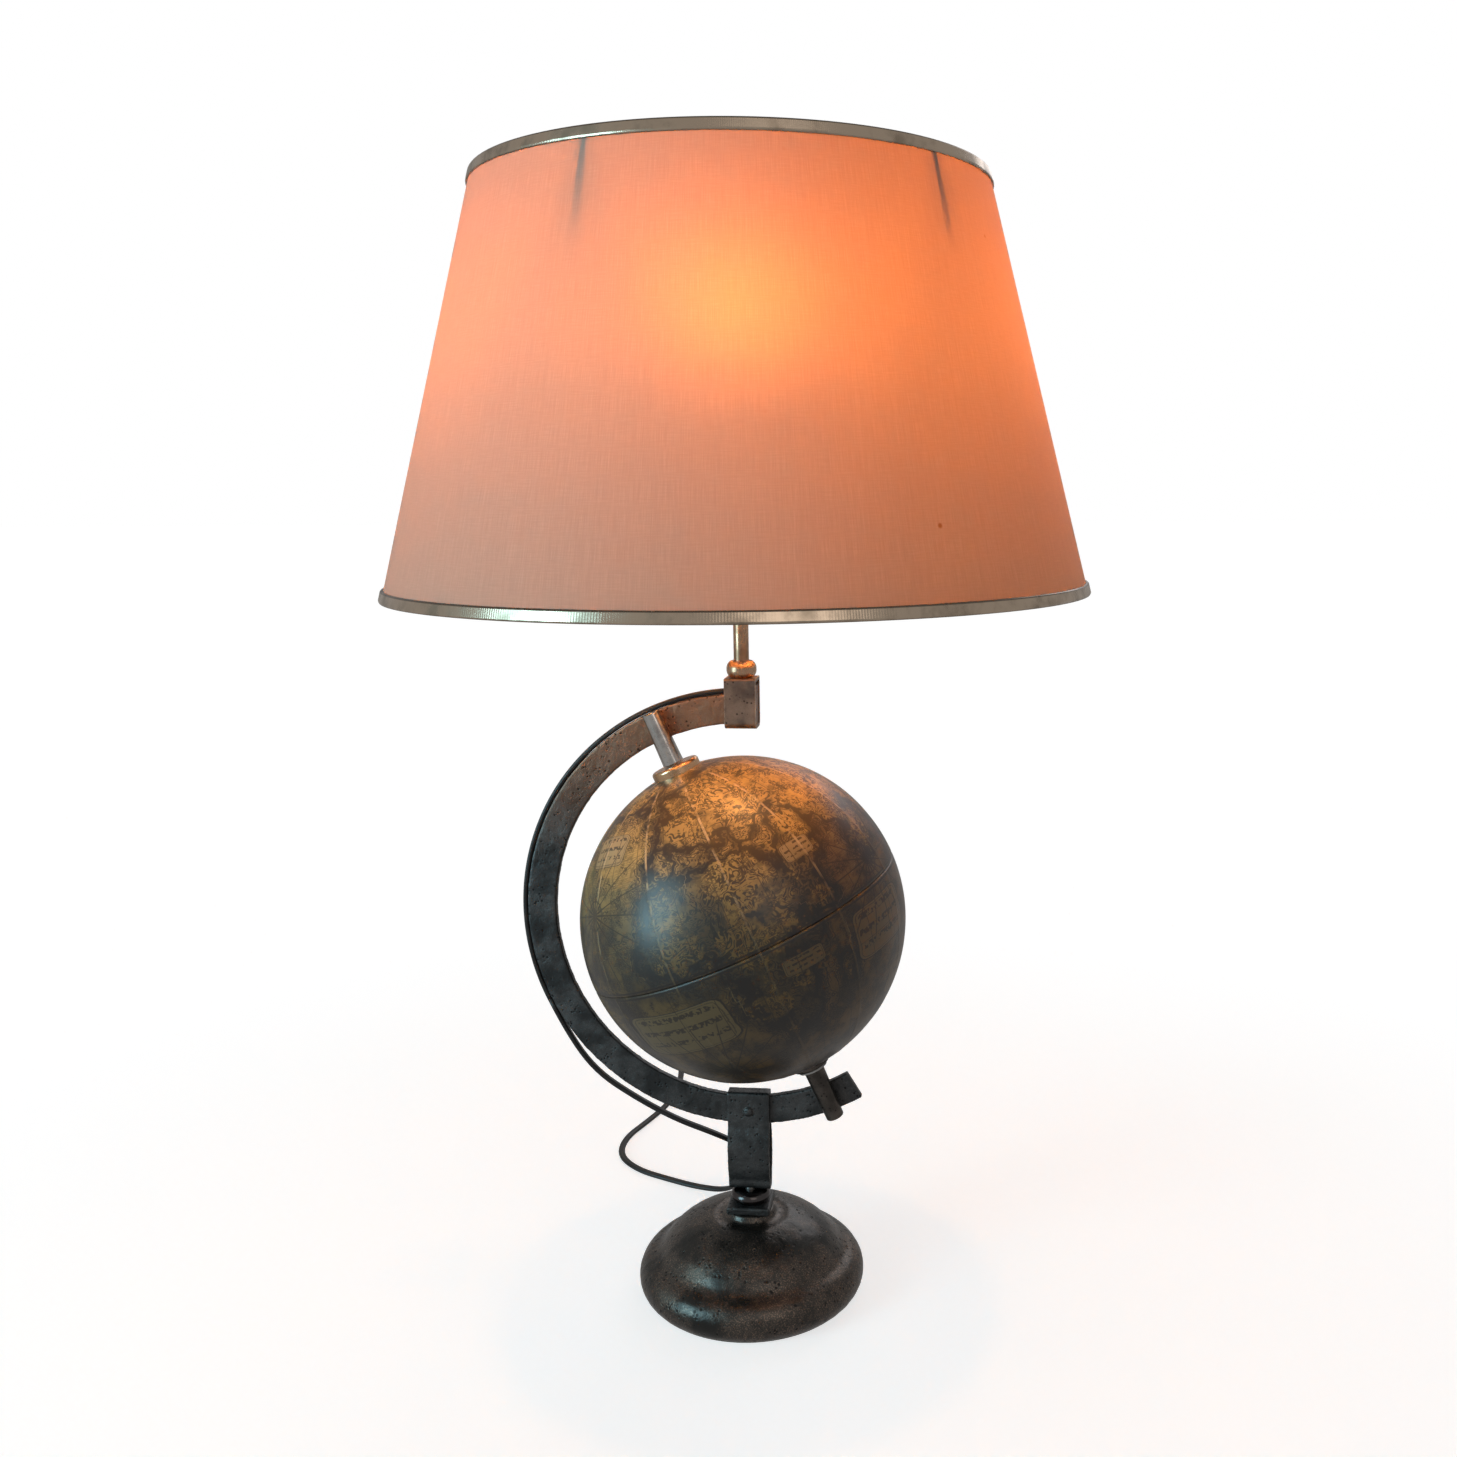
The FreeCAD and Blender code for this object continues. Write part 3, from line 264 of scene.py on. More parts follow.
def twin_section():
    """The outline of a flat twin lead: two round cores side by side with a shallow groove."""
    core = CORD_THICK / 2
    apart = CORD_WIDTH / 2 - core
    neck = math.acos(apart / core)
    per_core = 9
    outline = []
    for side in (1, -1):
        for step in range(per_core):
            angle = -(math.pi - neck) + 2 * (math.pi - neck) * step / (per_core - 1)
            outline.append((side * (apart + core * math.cos(angle)), side * core * math.sin(angle)))
    return outline


def on_track(angle):
    return BAR_CENTRE + CORD_TRACK * Vector((math.cos(angle), 0, math.sin(angle)))


def coil_turns():
    """The put-away turns: two columns of three layers, wound clockwise seen from above."""
    low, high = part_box("cord_coil")
    middle = (low + high) / 2
    radius = 31 * MM
    column_reach = 2.9 * MM
    stray = 0.35 * MM
    nest = [(1, 0), (-1, 0), (-1, 1), (1, 1), (1, 2), (-1, 2)]
    turns = 5.375
    per_turn = 16
    start = math.radians(204)
    change = 0.3
    points = []
    for step in range(int(turns * per_turn) + 1):
        turn, done = divmod(step / per_turn, 1.0)
        here = nest[int(turn)]
        ahead = nest[min(int(turn) + 1, len(nest) - 1)]
        share = max(0.0, (done - 1 + change) / change)
        share = share * share * (3 - 2 * share)
        column = here[0] + (ahead[0] - here[0]) * share
        layer = here[1] + (ahead[1] - here[1]) * share
        angle = start - 2 * math.pi * step / per_turn
        reach = radius + column * column_reach + stray * math.sin(3.1 * step)
        height = CORD_THICK * (layer + 0.5)
        points.append((middle.x + reach * math.cos(angle), middle.y + reach * math.sin(angle), height))
    return points


def make_cord():
    def across(along):
        side = UP.cross(along)
        return side if side.length > 1e-4 else Vector((0, 1, 0))

    section = twin_section()
    controls = [tuple(on_track(CORD_LEAVE))] + cord_route + coil_turns() + tail_route
    line = curve_line("lead_line", controls, 6)
    lead = swept("mains_lead", line, section, across)
    give(lead, "black_sleeve")
    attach(lead, "stand")
    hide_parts("cord_free", "cord_coil", "cord_tail")
    make_held_lead(section)


def make_held_lead(section):
    """The stretch of lead along the bar's outer edge, up into the head block."""
    entry = math.acos(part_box("head_block")[0].x / CORD_TRACK)
    steps = 90
    tucked_in = 3 * MM
    path = []
    for step in range(steps + 1):
        angle = CORD_LEAVE + (entry - CORD_LEAVE) * step / steps
        path.append(on_track(angle))
    path.append(on_track(entry) + Vector((math.sin(entry), 0, -math.cos(entry))) * tucked_in)
    held = swept("lead_on_bar", path, section, lambda along: Vector((0, 1, 0)))
    give(held, "black_sleeve")
    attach(held, "stand")
    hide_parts("cord_on_bar")


# ---------------------------------------------------------------- finishes


class Bench:
    """Lays out the nodes of one finish or of one shared effect."""

    def __init__(self, tree):
        self.tree = tree

    def feed(self, value, socket):
        if isinstance(value, bpy.types.NodeSocket):
            self.tree.links.new(value, socket)
        else:
            socket.default_value = value

    def add(self, kind, given=None, **settings):
        prefix = "" if kind.startswith("Node") else "ShaderNode"
        node = self.tree.nodes.new(prefix + kind)
        for name, value in settings.items():
            setattr(node, name, value)
        for name, value in (given or {}).items():
            self.feed(value, node.inputs[name])
        return node

    def place(self):
        """Where a point is on its piece, in metres."""
        return self.add("TexCoord").outputs["Object"]

    def sum(self, operation, a, b=0.0):
        node = self.add("Math", operation=operation)
        self.feed(a, node.inputs[0])
        self.feed(b, node.inputs[1])
        return node.outputs[0]

    def vector(self, operation, a, b=(0, 0, 0), out="Vector"):
        node = self.add("VectorMath", operation=operation)
        self.feed(a, node.inputs[0])
        self.feed(b, node.inputs[1])
        return node.outputs[out]

    def scaled(self, place, size):
        node = self.add("VectorMath", operation="SCALE")
        self.feed(place, node.inputs[0])
        self.feed(size, node.inputs["Scale"])
        return node.outputs["Vector"]

    def parts(self, vector):
        return self.add("SeparateXYZ", {"Vector": vector}).outputs

    def fade(self, value, low, high, start=0.0, end=1.0):
        """A smooth change from start to end as value goes from low to high."""
        node = self.add("MapRange", interpolation_type="SMOOTHSTEP")
        for name, amount in (("Value", value), ("From Min", low), ("From Max", high),
                             ("To Min", start), ("To Max", end)):
            self.feed(amount, node.inputs[name])
        return node.outputs["Result"]

    def noise(self, place, scale, detail=3.0, rough=0.55, distortion=0.0):
        node = self.add("TexNoise", {"Vector": place, "Scale": scale, "Detail": detail,
                                     "Roughness": rough, "Distortion": distortion})
        return node.outputs["Fac"]

    def cells(self, place, scale):
        return self.add("TexVoronoi", {"Vector": place, "Scale": scale}).outputs["Distance"]

    def off_whole(self, value):
        """How far a value is from the nearest whole number."""
        return self.sum("ABSOLUTE", self.sum("SUBTRACT", value, self.sum("ROUND", value)))

    def near_line(self, turns, width, softness):
        """1 near whole numbers of a value that counts turns."""
        return self.fade(self.off_whole(turns), width + softness, width)

    def most(self, *values):
        """The largest of several values."""
        largest = values[0]
        for value in values[1:]:
            largest = self.sum("MAXIMUM", largest, value)
        return largest

    def times(self, *values):
        product = values[0]
        for value in values[1:]:
            product = self.sum("MULTIPLY", product, value)
        return product

    def mix(self, share, a, b, blend="MIX"):
        node = self.add("Mix", data_type="RGBA", blend_type=blend)
        self.feed(share, node.inputs[0])
        self.feed(a, node.inputs[6])
        self.feed(b, node.inputs[7])
        return node.outputs[2]

    def stretch(self, place, amounts):
        return self.vector("MULTIPLY", place, amounts)

    def use(self, group, given=None):
        node = self.tree.nodes.new("ShaderNodeGroup")
        node.node_tree = bpy.data.node_groups[group]
        for name, value in (given or {}).items():
            self.feed(value, node.inputs[name])
        return node.outputs

    def bump(self, height, distance, strength=1.0):
        node = self.add("Bump", {"Height": height, "Distance": distance, "Strength": strength})
        return node.outputs["Normal"]

    def blend(self, share, first, second):
        """A shader that goes from the first to the second as share goes from 0 to 1."""
        node = self.add("MixShader")
        for value, socket in zip((share, first.outputs[0], second.outputs[0]), node.inputs):
            self.feed(value, socket)
        return node

    def principled(self, colour, rough, metal, normal=None, **more):
        out = self.add("OutputMaterial")
        shader = self.add("BsdfPrincipled", {"Base Color": colour, "Roughness": rough, "Metallic": metal})
        if normal is not None:
            self.feed(normal, shader.inputs["Normal"])
        for name, value in more.items():
            self.feed(value, shader.inputs[name.replace("_", " ")])
        self.feed(shader.outputs[0], out.inputs["Surface"])
        return shader


def new_finish(name):
    material = bpy.data.materials.new(name)
    material.use_nodes = True
    material.node_tree.nodes.clear()
    return Bench(material.node_tree)


def new_effect(name, takes, gives):
    """A shared effect: a node group with number or vector inputs and the outputs named."""
    tree = bpy.data.node_groups.new(name, "ShaderNodeTree")
    for socket, kind, value in takes:
        made = tree.interface.new_socket(name=socket, in_out="INPUT", socket_type=kind)
        if value is not None:
            made.default_value = value
    for socket in gives:
        tree.interface.new_socket(name=socket, in_out="OUTPUT", socket_type="NodeSocketFloat")
    work = Bench(tree)
    return work, work.add("NodeGroupInput").outputs, work.add("NodeGroupOutput").inputs


FLOAT = "NodeSocketFloat"
VECTOR = "NodeSocketVector"


def make_hammered():
    """Forged or cast iron skin: broad dents, grain, small pits, cloudy tone and fine specks."""
    work, given, out = new_effect("hammered", [("Size", FLOAT, 1.0)],
                                  ["Height", "Pits", "Cloud", "Speckle"])
    spot = work.scaled(work.place(), given["Size"])
    broad = work.noise(spot, 130, 2, 0.5)
    grain = work.noise(spot, 900, 4, 0.65)
    pit_cells = work.cells(spot, 340)
    pit_patch = work.fade(work.noise(spot, 120, 2), 0.44, 0.58)
    pits = work.times(work.fade(pit_cells, 0.36, 0.14), pit_patch)
    height = work.sum("ADD", work.times(broad, 0.6), work.times(grain, 0.35))
    height = work.sum("SUBTRACT", height, work.times(pits, 0.45))
    work.feed(height, out["Height"])
    work.feed(pits, out["Pits"])
    work.feed(work.noise(spot, 38, 4, 0.6), out["Cloud"])
    work.feed(work.fade(work.noise(spot, 1500, 2, 0.7), 0.50, 0.66), out["Speckle"])


def make_rubbed_edges():
    """1 where an outer edge is rubbed bright, broken up by a fine noise."""
    work, given, out = new_effect("rubbed_edges", [("Width", FLOAT, 0.001)], ["Mask"])
    soft = work.add("Bevel", {"Radius": given["Width"]}, samples=6)
    flat = work.add("NewGeometry").outputs["Normal"]
    turn = work.vector("DOT_PRODUCT", soft.outputs["Normal"], flat, out="Value")
    edge = work.fade(turn, 0.985, 0.86)
    broken = work.fade(work.noise(work.place(), 320, 3), 0.32, 0.56)
    work.feed(work.times(edge, broken), out["Mask"])


def make_brushed():
    """Fine drawn lines along the piece and a few handling marks."""
    work, given, out = new_effect("brushed", [("Stretch", VECTOR, (1, 1, 1))], ["Lines", "Smudge"])
    spot = work.stretch(work.place(), given["Stretch"])
    work.feed(work.noise(spot, 1600, 3, 0.6), out["Lines"])
    work.feed(work.noise(work.place(), 60, 4, 0.6), out["Smudge"])


def make_dust():
    """Grey settled on faces that look up."""
    work, given, out = new_effect("dust", [("Amount", FLOAT, 0.3)], ["Mask"])
    up = work.parts(work.add("NewGeometry").outputs["Normal"])[2]
    lying = work.fade(up, 0.35, 0.95)
    patch = work.fade(work.noise(work.place(), 45, 5, 0.65), 0.35, 0.75)
    work.feed(work.times(lying, patch, given["Amount"]), out["Mask"])


def iron(name, dark, light, metal, rough, size, depth, wear_tone, dusty, speckled=0.0, painted_bulb_glow=None):
    """Waxed iron in one of its tones, with bare metal in specks and at the edges.

    The last argument gives the low and high height of a painted warm glow from the bulb, and its share at
    each.
    """
    work = new_finish(name)
    skin = work.use("hammered", {"Size": size})
    edges = work.use("rubbed_edges", {"Width": 1.1 * MM})["Mask"]
    dust = work.use("dust", {"Amount": dusty})["Mask"]
    tone = work.mix(work.fade(skin["Cloud"], 0.36, 0.66), dark, light)
    if painted_bulb_glow:
        # Painted light: the bulb's warm glow, painted as brown that grows towards the top of the piece.
        bulb_glow_share = work.fade(work.parts(work.place())[2], *painted_bulb_glow)
        tone = work.mix(bulb_glow_share, tone, (0.34, 0.175, 0.10, 1))
    speck = work.times(skin["Speckle"], work.fade(skin["Cloud"], 0.35, 0.6))
    tone = work.mix(work.times(speck, speckled), tone, wear_tone)
    tone = work.mix(work.times(skin["Pits"], 0.8), tone, (0.006, 0.005, 0.005, 1))
    tone = work.mix(work.times(edges, 0.75), tone, wear_tone)
    tone = work.mix(dust, tone, (0.25, 0.22, 0.20, 1))
    shine = work.fade(skin["Cloud"], 0.3, 0.7, rough - 0.07, rough + 0.09)
    shine = work.sum("ADD", shine, work.times(skin["Pits"], 0.25))
    normal = work.bump(skin["Height"], depth)
    work.principled(tone, shine, metal, normal, Coat_Weight=0.12, Coat_Roughness=0.22)


def drawn_metal(name, colour, tarnish, rough, stretch, spots=0.0):
    """Tube and sheet metal with drawn lines and a little tarnish."""
    work = new_finish(name)
    lines = work.use("brushed", {"Stretch": stretch})
    patch = work.fade(lines["Smudge"], 0.42, 0.68)
    tone = work.mix(patch, colour, tarnish)
    if spots:
        speck = work.fade(work.cells(work.place(), 500), 0.22, 0.08)
        tone = work.mix(work.times(speck, spots), tone, (0.03, 0.02, 0.015, 1))
    shine = work.sum("ADD", work.times(lines["Lines"], 0.16), rough - 0.08)
    shine = work.sum("ADD", shine, work.times(patch, 0.1))
    work.principled(tone, shine, 1.0, work.bump(lines["Lines"], 0.02 * MM, 0.6))


def make_metals():
    iron("cast_base_iron", (0.036, 0.036, 0.034, 1), (0.085, 0.074, 0.064, 1), 0.85, 0.30, 0.8,
         0.50 * MM, (0.42, 0.28, 0.20, 1), 0.06, 0.55)
    # The forged iron gets a painted warm glow from the bulb towards the head of the bar.
    iron("black_forged_iron", (0.036, 0.039, 0.040, 1), (0.092, 0.092, 0.092, 1), 0.8, 0.40, 1.0,
         0.70 * MM, (0.40, 0.36, 0.34, 1), 0.08, 0.12, (0.30, 0.42, 0.0, 0.85))
    iron("brown_block_steel", (0.17, 0.125, 0.10, 1), (0.36, 0.26, 0.20, 1), 0.9, 0.36, 1.2,
         0.14 * MM, (0.75, 0.58, 0.44, 1), 0.05, 0.15)
    iron("dark_collar_metal", (0.055, 0.048, 0.042, 1), (0.13, 0.11, 0.095, 1), 0.9, 0.28, 1.4,
         0.08 * MM, (0.36, 0.30, 0.25, 1), 0.05)
    drawn_metal("gunmetal", (0.085, 0.078, 0.078, 1), (0.045, 0.038, 0.036, 1), 0.20, (1, 1, 0.1), 0.5)
    drawn_metal("zinc_steel", (0.42, 0.42, 0.41, 1), (0.20, 0.19, 0.18, 1), 0.38, (1, 1, 1))
    drawn_metal("post_steel", (0.62, 0.60, 0.57, 1), (0.34, 0.31, 0.29, 1), 0.15, (1, 1, 0.08), 0.3)
    drawn_metal("warm_brass", (0.60, 0.38, 0.24, 1), (0.36, 0.22, 0.14, 1), 0.26, (1, 1, 0.08), 0.4)
    drawn_metal("collar_brass", (0.74, 0.47, 0.27, 1), (0.42, 0.26, 0.15, 1), 0.24, (1, 1, 1), 0.4)
    drawn_metal("wire_steel", (0.30, 0.29, 0.28, 1), (0.16, 0.14, 0.13, 1), 0.35, (1, 1, 1))
    drawn_metal("pin_nickel", (0.60, 0.58, 0.54, 1), (0.40, 0.37, 0.33, 1), 0.22, (1, 1, 1))
    drawn_metal("bulb_cap_metal", (0.55, 0.53, 0.48, 1), (0.33, 0.30, 0.26, 1), 0.32, (1, 1, 1))


def make_plastics():
    work = new_finish("black_sleeve")
    spot = work.place()
    grime = work.noise(spot, 70, 4)
    tone = work.mix(work.fade(grime, 0.4, 0.7), (0.011, 0.010, 0.010, 1), (0.030, 0.027, 0.025, 1))
    shine = work.fade(grime, 0.3, 0.7, 0.34, 0.52)
    work.principled(tone, shine, 0.0, work.bump(work.noise(spot, 900, 3), 0.08 * MM))

    work = new_finish("moulded_black")
    spot = work.place()
    grain = work.noise(spot, 1400, 3, 0.6)
    tone = work.mix(work.fade(work.noise(spot, 60, 3), 0.4, 0.7), (0.012, 0.012, 0.012, 1),
                    (0.026, 0.024, 0.023, 1))
    work.principled(tone, work.fade(grain, 0.3, 0.7, 0.36, 0.5), 0.0, work.bump(grain, 0.05 * MM))

    work = new_finish("bakelite")
    spot = work.place()
    swirl = work.noise(spot, 90, 4, 0.6, 1.2)
    tone = work.mix(work.fade(swirl, 0.35, 0.7), (0.020, 0.010, 0.006, 1), (0.055, 0.025, 0.012, 1))
    work.principled(tone, work.fade(swirl, 0.3, 0.7, 0.20, 0.34), 0.0, Coat_Weight=0.4)

    work = new_finish("glazed_porcelain")
    spot = work.place()
    tone = work.mix(work.fade(work.noise(spot, 80, 3), 0.4, 0.7), (0.78, 0.75, 0.69, 1),
                    (0.62, 0.58, 0.50, 1))
    work.principled(tone, work.fade(work.noise(spot, 200, 2), 0.3, 0.7, 0.12, 0.26), 0.0)

    work = new_finish("base_felt")
    spot = work.place()
    fibre = work.noise(spot, 1500, 4, 0.7)
    tone = work.mix(fibre, (0.010, 0.030, 0.018, 1), (0.035, 0.075, 0.045, 1))
    work.principled(tone, 0.95, 0.0, work.bump(fibre, 0.4 * MM), Sheen_Weight=0.4, Sheen_Roughness=0.5)

    work = new_finish("card_ring")
    spot = work.place()
    fibre = work.noise(work.stretch(spot, (1, 1, 5)), 500, 4, 0.6)
    tone = work.mix(fibre, (0.30, 0.22, 0.14, 1), (0.42, 0.32, 0.21, 1))
    work.principled(tone, 0.9, 0.0, work.bump(fibre, 0.15 * MM))

    work = new_finish("tie_strap")
    spot = work.place()
    ribs = work.add("TexWave", {"Vector": spot, "Scale": 400}, bands_direction="Y").outputs["Fac"]
    tone = work.mix(ribs, (0.010, 0.010, 0.011, 1), (0.030, 0.030, 0.032, 1))
    work.principled(tone, 0.5, 0.0, work.bump(ribs, 0.15 * MM))


def make_bulb_finishes():
    work = new_finish("lit_bulb_glass")
    haze = work.noise(work.place(), 40, 2)
    tone = work.mix(haze, (1.0, 0.93, 0.82, 1), (1.0, 0.96, 0.9, 1))
    glass = work.principled(tone, 0.45, 0.0)
    work.feed((1.0, 0.46, 0.155, 1), glass.inputs["Emission Color"])
    work.feed(190.0, glass.inputs["Emission Strength"])


def make_shade_finishes():
    """Slubbed silk that lets the bulb's light through, with painted shade near the top and painted strut
    shadows; foil trim.
    """
    work = new_finish("shade_silk")
    spot = work.place()
    across = work.parts(spot)
    angle = work.sum("ARCTAN2", across[1], across[0])
    around = work.add("CombineXYZ", {"X": work.times(angle, 0.19), "Y": work.times(across[2], 0.02)})
    warp = work.noise(around.outputs[0], 3400, 2, 0.5)
    slub = work.noise(around.outputs[0], 620, 3, 0.6)
    upright = work.add("CombineXYZ", {"X": work.times(angle, 0.012), "Y": across[2]})
    weft = work.noise(upright.outputs[0], 1500, 2, 0.5)
    weave = work.sum("ADD", work.times(warp, 0.5), work.times(slub, 0.20))
    weave = work.sum("ADD", weave, work.times(weft, 0.25))
    fleck = work.fade(work.cells(spot, 22), 0.045, 0.02)
    fleck = work.times(fleck, work.fade(work.noise(spot, 9, 1), 0.5, 0.6))
    cloth = work.mix(work.fade(weave, 0.35, 0.75), (0.46, 0.375, 0.31, 1), (0.57, 0.48, 0.40, 1))
    cloth = work.mix(fleck, cloth, (0.35, 0.17, 0.09, 1))
    glow = work.mix(work.fade(weave, 0.3, 0.8), (0.82, 0.33, 0.065, 1), (1.0, 0.44, 0.095, 1))
    glow = work.mix(fleck, glow, (0.40, 0.16, 0.06, 1))
    # Painted shade: the light through the silk is dimmed towards the top.
    painted_top_shade_foot = SHADE_LOW.z + 0.13
    painted_top_shade = work.fade(across[2], painted_top_shade_foot, SHADE_HIGH.z, 0.0, 0.55)
    glow = work.mix(painted_top_shade, glow, (0.20, 0.055, 0.012, 1))
    # Painted shadows of the struts: dark streaks in the light through the silk, running down from the top
    # ring at each strut.
    shadow_foot = SHADE_HIGH.z - 0.070
    turn = work.times(angle, 180 / math.pi / STRUT_STEP)
    off = work.off_whole(work.sum("SUBTRACT", turn, STRUT_TURN / STRUT_STEP))
    drop = work.fade(across[2], shadow_foot, SHADE_HIGH.z)
    spread = work.fade(across[2], shadow_foot, SHADE_HIGH.z, 0.030, 0.012)
    painted_strut_shadow = work.times(work.fade(work.sum("DIVIDE", off, spread), 1.0, 0.2), drop)
    glow = work.mix(painted_strut_shadow, glow, (0.02, 0.008, 0.004, 1))
    normal = work.bump(weave, 0.12 * MM, 0.8)
    front = work.add("BsdfPrincipled", {"Base Color": cloth, "Roughness": 0.75, "Normal": normal,
                                        "Sheen Weight": 0.25, "Sheen Roughness": 0.4})
    through = work.add("BsdfTranslucent", {"Color": glow, "Normal": normal})
    ahead = work.add("BsdfRefraction", {"Color": glow, "Roughness": 1.0, "IOR": 1.35})
    passing = 0.165
    straight_on = 0.07
    both = work.blend(passing, front, work.blend(straight_on, through, ahead))
    out = work.add("OutputMaterial")
    work.feed(both.outputs[0], out.inputs["Surface"])

    work = new_finish("foil_trim")
    spot = work.place()
    across = work.parts(spot)
    angle = work.sum("ARCTAN2", across[1], across[0])
    rub = work.noise(spot, 55, 4)
    lap = work.sum("SINE", work.times(angle, 900.0))
    tone = work.mix(work.fade(rub, 0.4, 0.7), (0.62, 0.50, 0.38, 1), (0.34, 0.27, 0.20, 1))
    # Painted shade: the trim is darkened where its faces look up or down.
    tilt = work.parts(work.add("NewGeometry").outputs["Normal"])[2]
    painted_trim_shade = work.fade(work.sum("ABSOLUTE", tilt), 0.30, 0.55)
    tone = work.mix(work.times(painted_trim_shade, 0.8), tone, (0.10, 0.075, 0.055, 1))
    work.principled(tone, work.fade(rub, 0.3, 0.75, 0.18, 0.34), 1.0, work.bump(lap, 0.02 * MM, 0.5))


# ---------------------------------------------------------------- map print

# Land as soft round patches: longitude, latitude and reach in degrees
land_patches = [
    # Africa
    (-2, 16, 14), (12, 20, 14), (28, 19, 13), (20, 3, 13), (33, 2, 9), (22, -14, 13), (25, -26, 8),
    (43, 8, 7), (-12, 10, 7),
    # Europe
    (-4, 40, 5), (4, 47, 6), (13, 49, 7), (24, 49, 8), (37, 54, 13), (14, 62, 7), (27, 65, 7),
    (-3, 54, 3), (13, 43, 2.5), (22, 41, 4), (-19, 65, 2.5),
    # Asia
    (34, 39, 5), (46, 23, 9), (54, 33, 8), (66, 60, 17), (75, 40, 16), (96, 58, 19), (103, 37, 15),
    (121, 62, 16), (115, 32, 8), (150, 66, 11), (160, 58, 4), (79, 20, 8), (77, 12, 4), (102, 17, 7),
    (138, 37, 4), (175, 67, 6),
    # Islands of the east
    (102, 0, 5), (114, 1, 5), (121, 13, 4), (141, -5, 6), (47, -19, 4),
    (124, -24, 9), (137, -23, 10), (146, -31, 7),
    # The Americas
    (-100, 60, 15), (-122, 60, 11), (-75, 55, 10), (-100, 42, 13), (-85, 38, 8), (-105, 28, 7),
    (-91, 17, 4), (-82, 9, 3), (-152, 64, 8), (-42, 72, 10),
    (-62, -5, 14), (-48, -10, 10), (-58, -22, 11), (-66, -38, 6), (-71, -49, 4), (-73, 3, 6),
    # The unknown southern land
    (30, -86, 17), (-120, -80, 14),
]


# Plaques and wind roses: longitude, latitude, half width and half height in radians
plaques = [
    (-18, -17, 0.34, 0.15), (68, -13, 0.26, 0.15), (-140, -20, 0.34, 0.16), (-38, 50, 0.16, 0.10),
    (-160, 25, 0.24, 0.12), (95, -38, 0.34, 0.13), (48, 24, 0.10, 0.055), (32, -9, 0.13, 0.05),
]
roses = [(-42, 28, 1, 1), (-14, -42, 1, 1), (72, 8, 1, 1), (-120, 5, 1, 1), (170, -20, 1, 1)]


def toward(longitude, latitude):
    """The direction of a place on the globe, in the globe's own axes."""
    east = math.radians(longitude)
    north = math.radians(latitude)
    return Vector((math.cos(north) * math.cos(east), math.cos(north) * math.sin(east), math.sin(north)))


def east_of(longitude):
    east = math.radians(longitude)
    return Vector((-math.sin(east), math.cos(east), 0))


def make_compass_rose():
    """A wind rose with sixteen rhumb lines about a spot. East and North are along the surface."""
    work, given, out = new_effect("compass_rose", [("East", FLOAT, 0.0), ("North", FLOAT, 0.0)],
                                  ["Lines", "Star"])
    rhumb_lines = 16
    east, north = given["East"], given["North"]
    reach = work.sum("SQRT", work.sum("ADD", work.times(east, east), work.times(north, north)))
    turn = work.times(work.sum("ARCTAN2", north, east), rhumb_lines / (2 * math.pi))
    gap = work.times(work.off_whole(turn), reach, 2 * math.pi / rhumb_lines)
    line = work.fade(gap, 0.006, 0.002)
    work.feed(work.times(line, work.fade(reach, 0.50, 0.40)), out["Lines"])
    point = work.fade(work.sum("PINGPONG", turn, 0.5), 0.0, 0.5, 0.115, 0.03)
    star = work.fade(work.sum("SUBTRACT", reach, point), 0.004, -0.004)
    ring = work.fade(work.sum("ABSOLUTE", work.sum("SUBTRACT", reach, 0.085)), 0.006, 0.003)
    work.feed(work.most(star, ring), out["Star"])


def make_cartouche():
    """A pale plaque with torn edges, a dark double frame and broken ruled lines."""
    work, given, out = new_effect("cartouche", [("East", FLOAT, 0.0), ("North", FLOAT, 0.0)],
                                  ["Field", "Frame"])
    across = work.sum("ABSOLUTE", given["East"])
    up = work.sum("ABSOLUTE", given["North"])
    torn = work.times(work.sum("SUBTRACT", work.noise(work.place(), 160, 3), 0.5), 0.5)
    oval = work.sum("ADD", work.sum("POWER", across, 7.0), work.sum("POWER", up, 7.0))
    oval = work.sum("ADD", oval, torn)
    work.feed(work.fade(oval, 1.08, 0.96), out["Field"])
    outer = work.fade(work.sum("ABSOLUTE", work.sum("SUBTRACT", oval, 1.0)), 0.16, 0.08)
    inner = work.fade(work.sum("ABSOLUTE", work.sum("SUBTRACT", oval, 0.52)), 0.07, 0.03)
    rule = work.sum("SINE", work.times(given["North"], 11.0))
    dashes = work.fade(work.noise(work.place(), 420, 1), 0.46, 0.52)
    rule = work.times(work.fade(rule, 0.10, 0.35), work.fade(oval, 0.34, 0.26), dashes)
    work.feed(work.most(outer, work.times(inner, 0.7), work.times(rule, 0.9)), out["Frame"])


def chart_points(piece, balls):
    """Stores on each point how far inside the land it is and where it is from the nearest plaque and rose."""
    land = np.full(len(balls), -1.0)
    for longitude, latitude, reach in land_patches:
        size = math.radians(reach)
        inside = (balls @ np.array(toward(longitude, latitude)) - math.cos(size)) / math.sin(size)
        land = np.maximum(land, inside)
    piece.data.attributes.new("land", "FLOAT", "POINT").data.foreach_set("value", land)
    for name, marks in (("plaque", plaques), ("rose", roses)):
        nearest = np.full(len(balls), -1.0)
        place = np.zeros((len(balls), 3))
        for longitude, latitude, wide, high in marks:
            facing = balls @ np.array(toward(longitude, latitude))
            closer = facing > nearest
            nearest[closer] = facing[closer]
            east = balls @ np.array(east_of(longitude)) / wide
            north = balls @ np.array(toward(longitude, latitude + 90)) / high
            here = np.stack([east, north, facing], axis=1)
            place[closer] = here[closer]
        stored = piece.data.attributes.new(name, "FLOAT_VECTOR", "POINT")
        stored.data.foreach_set("vector", place.ravel())


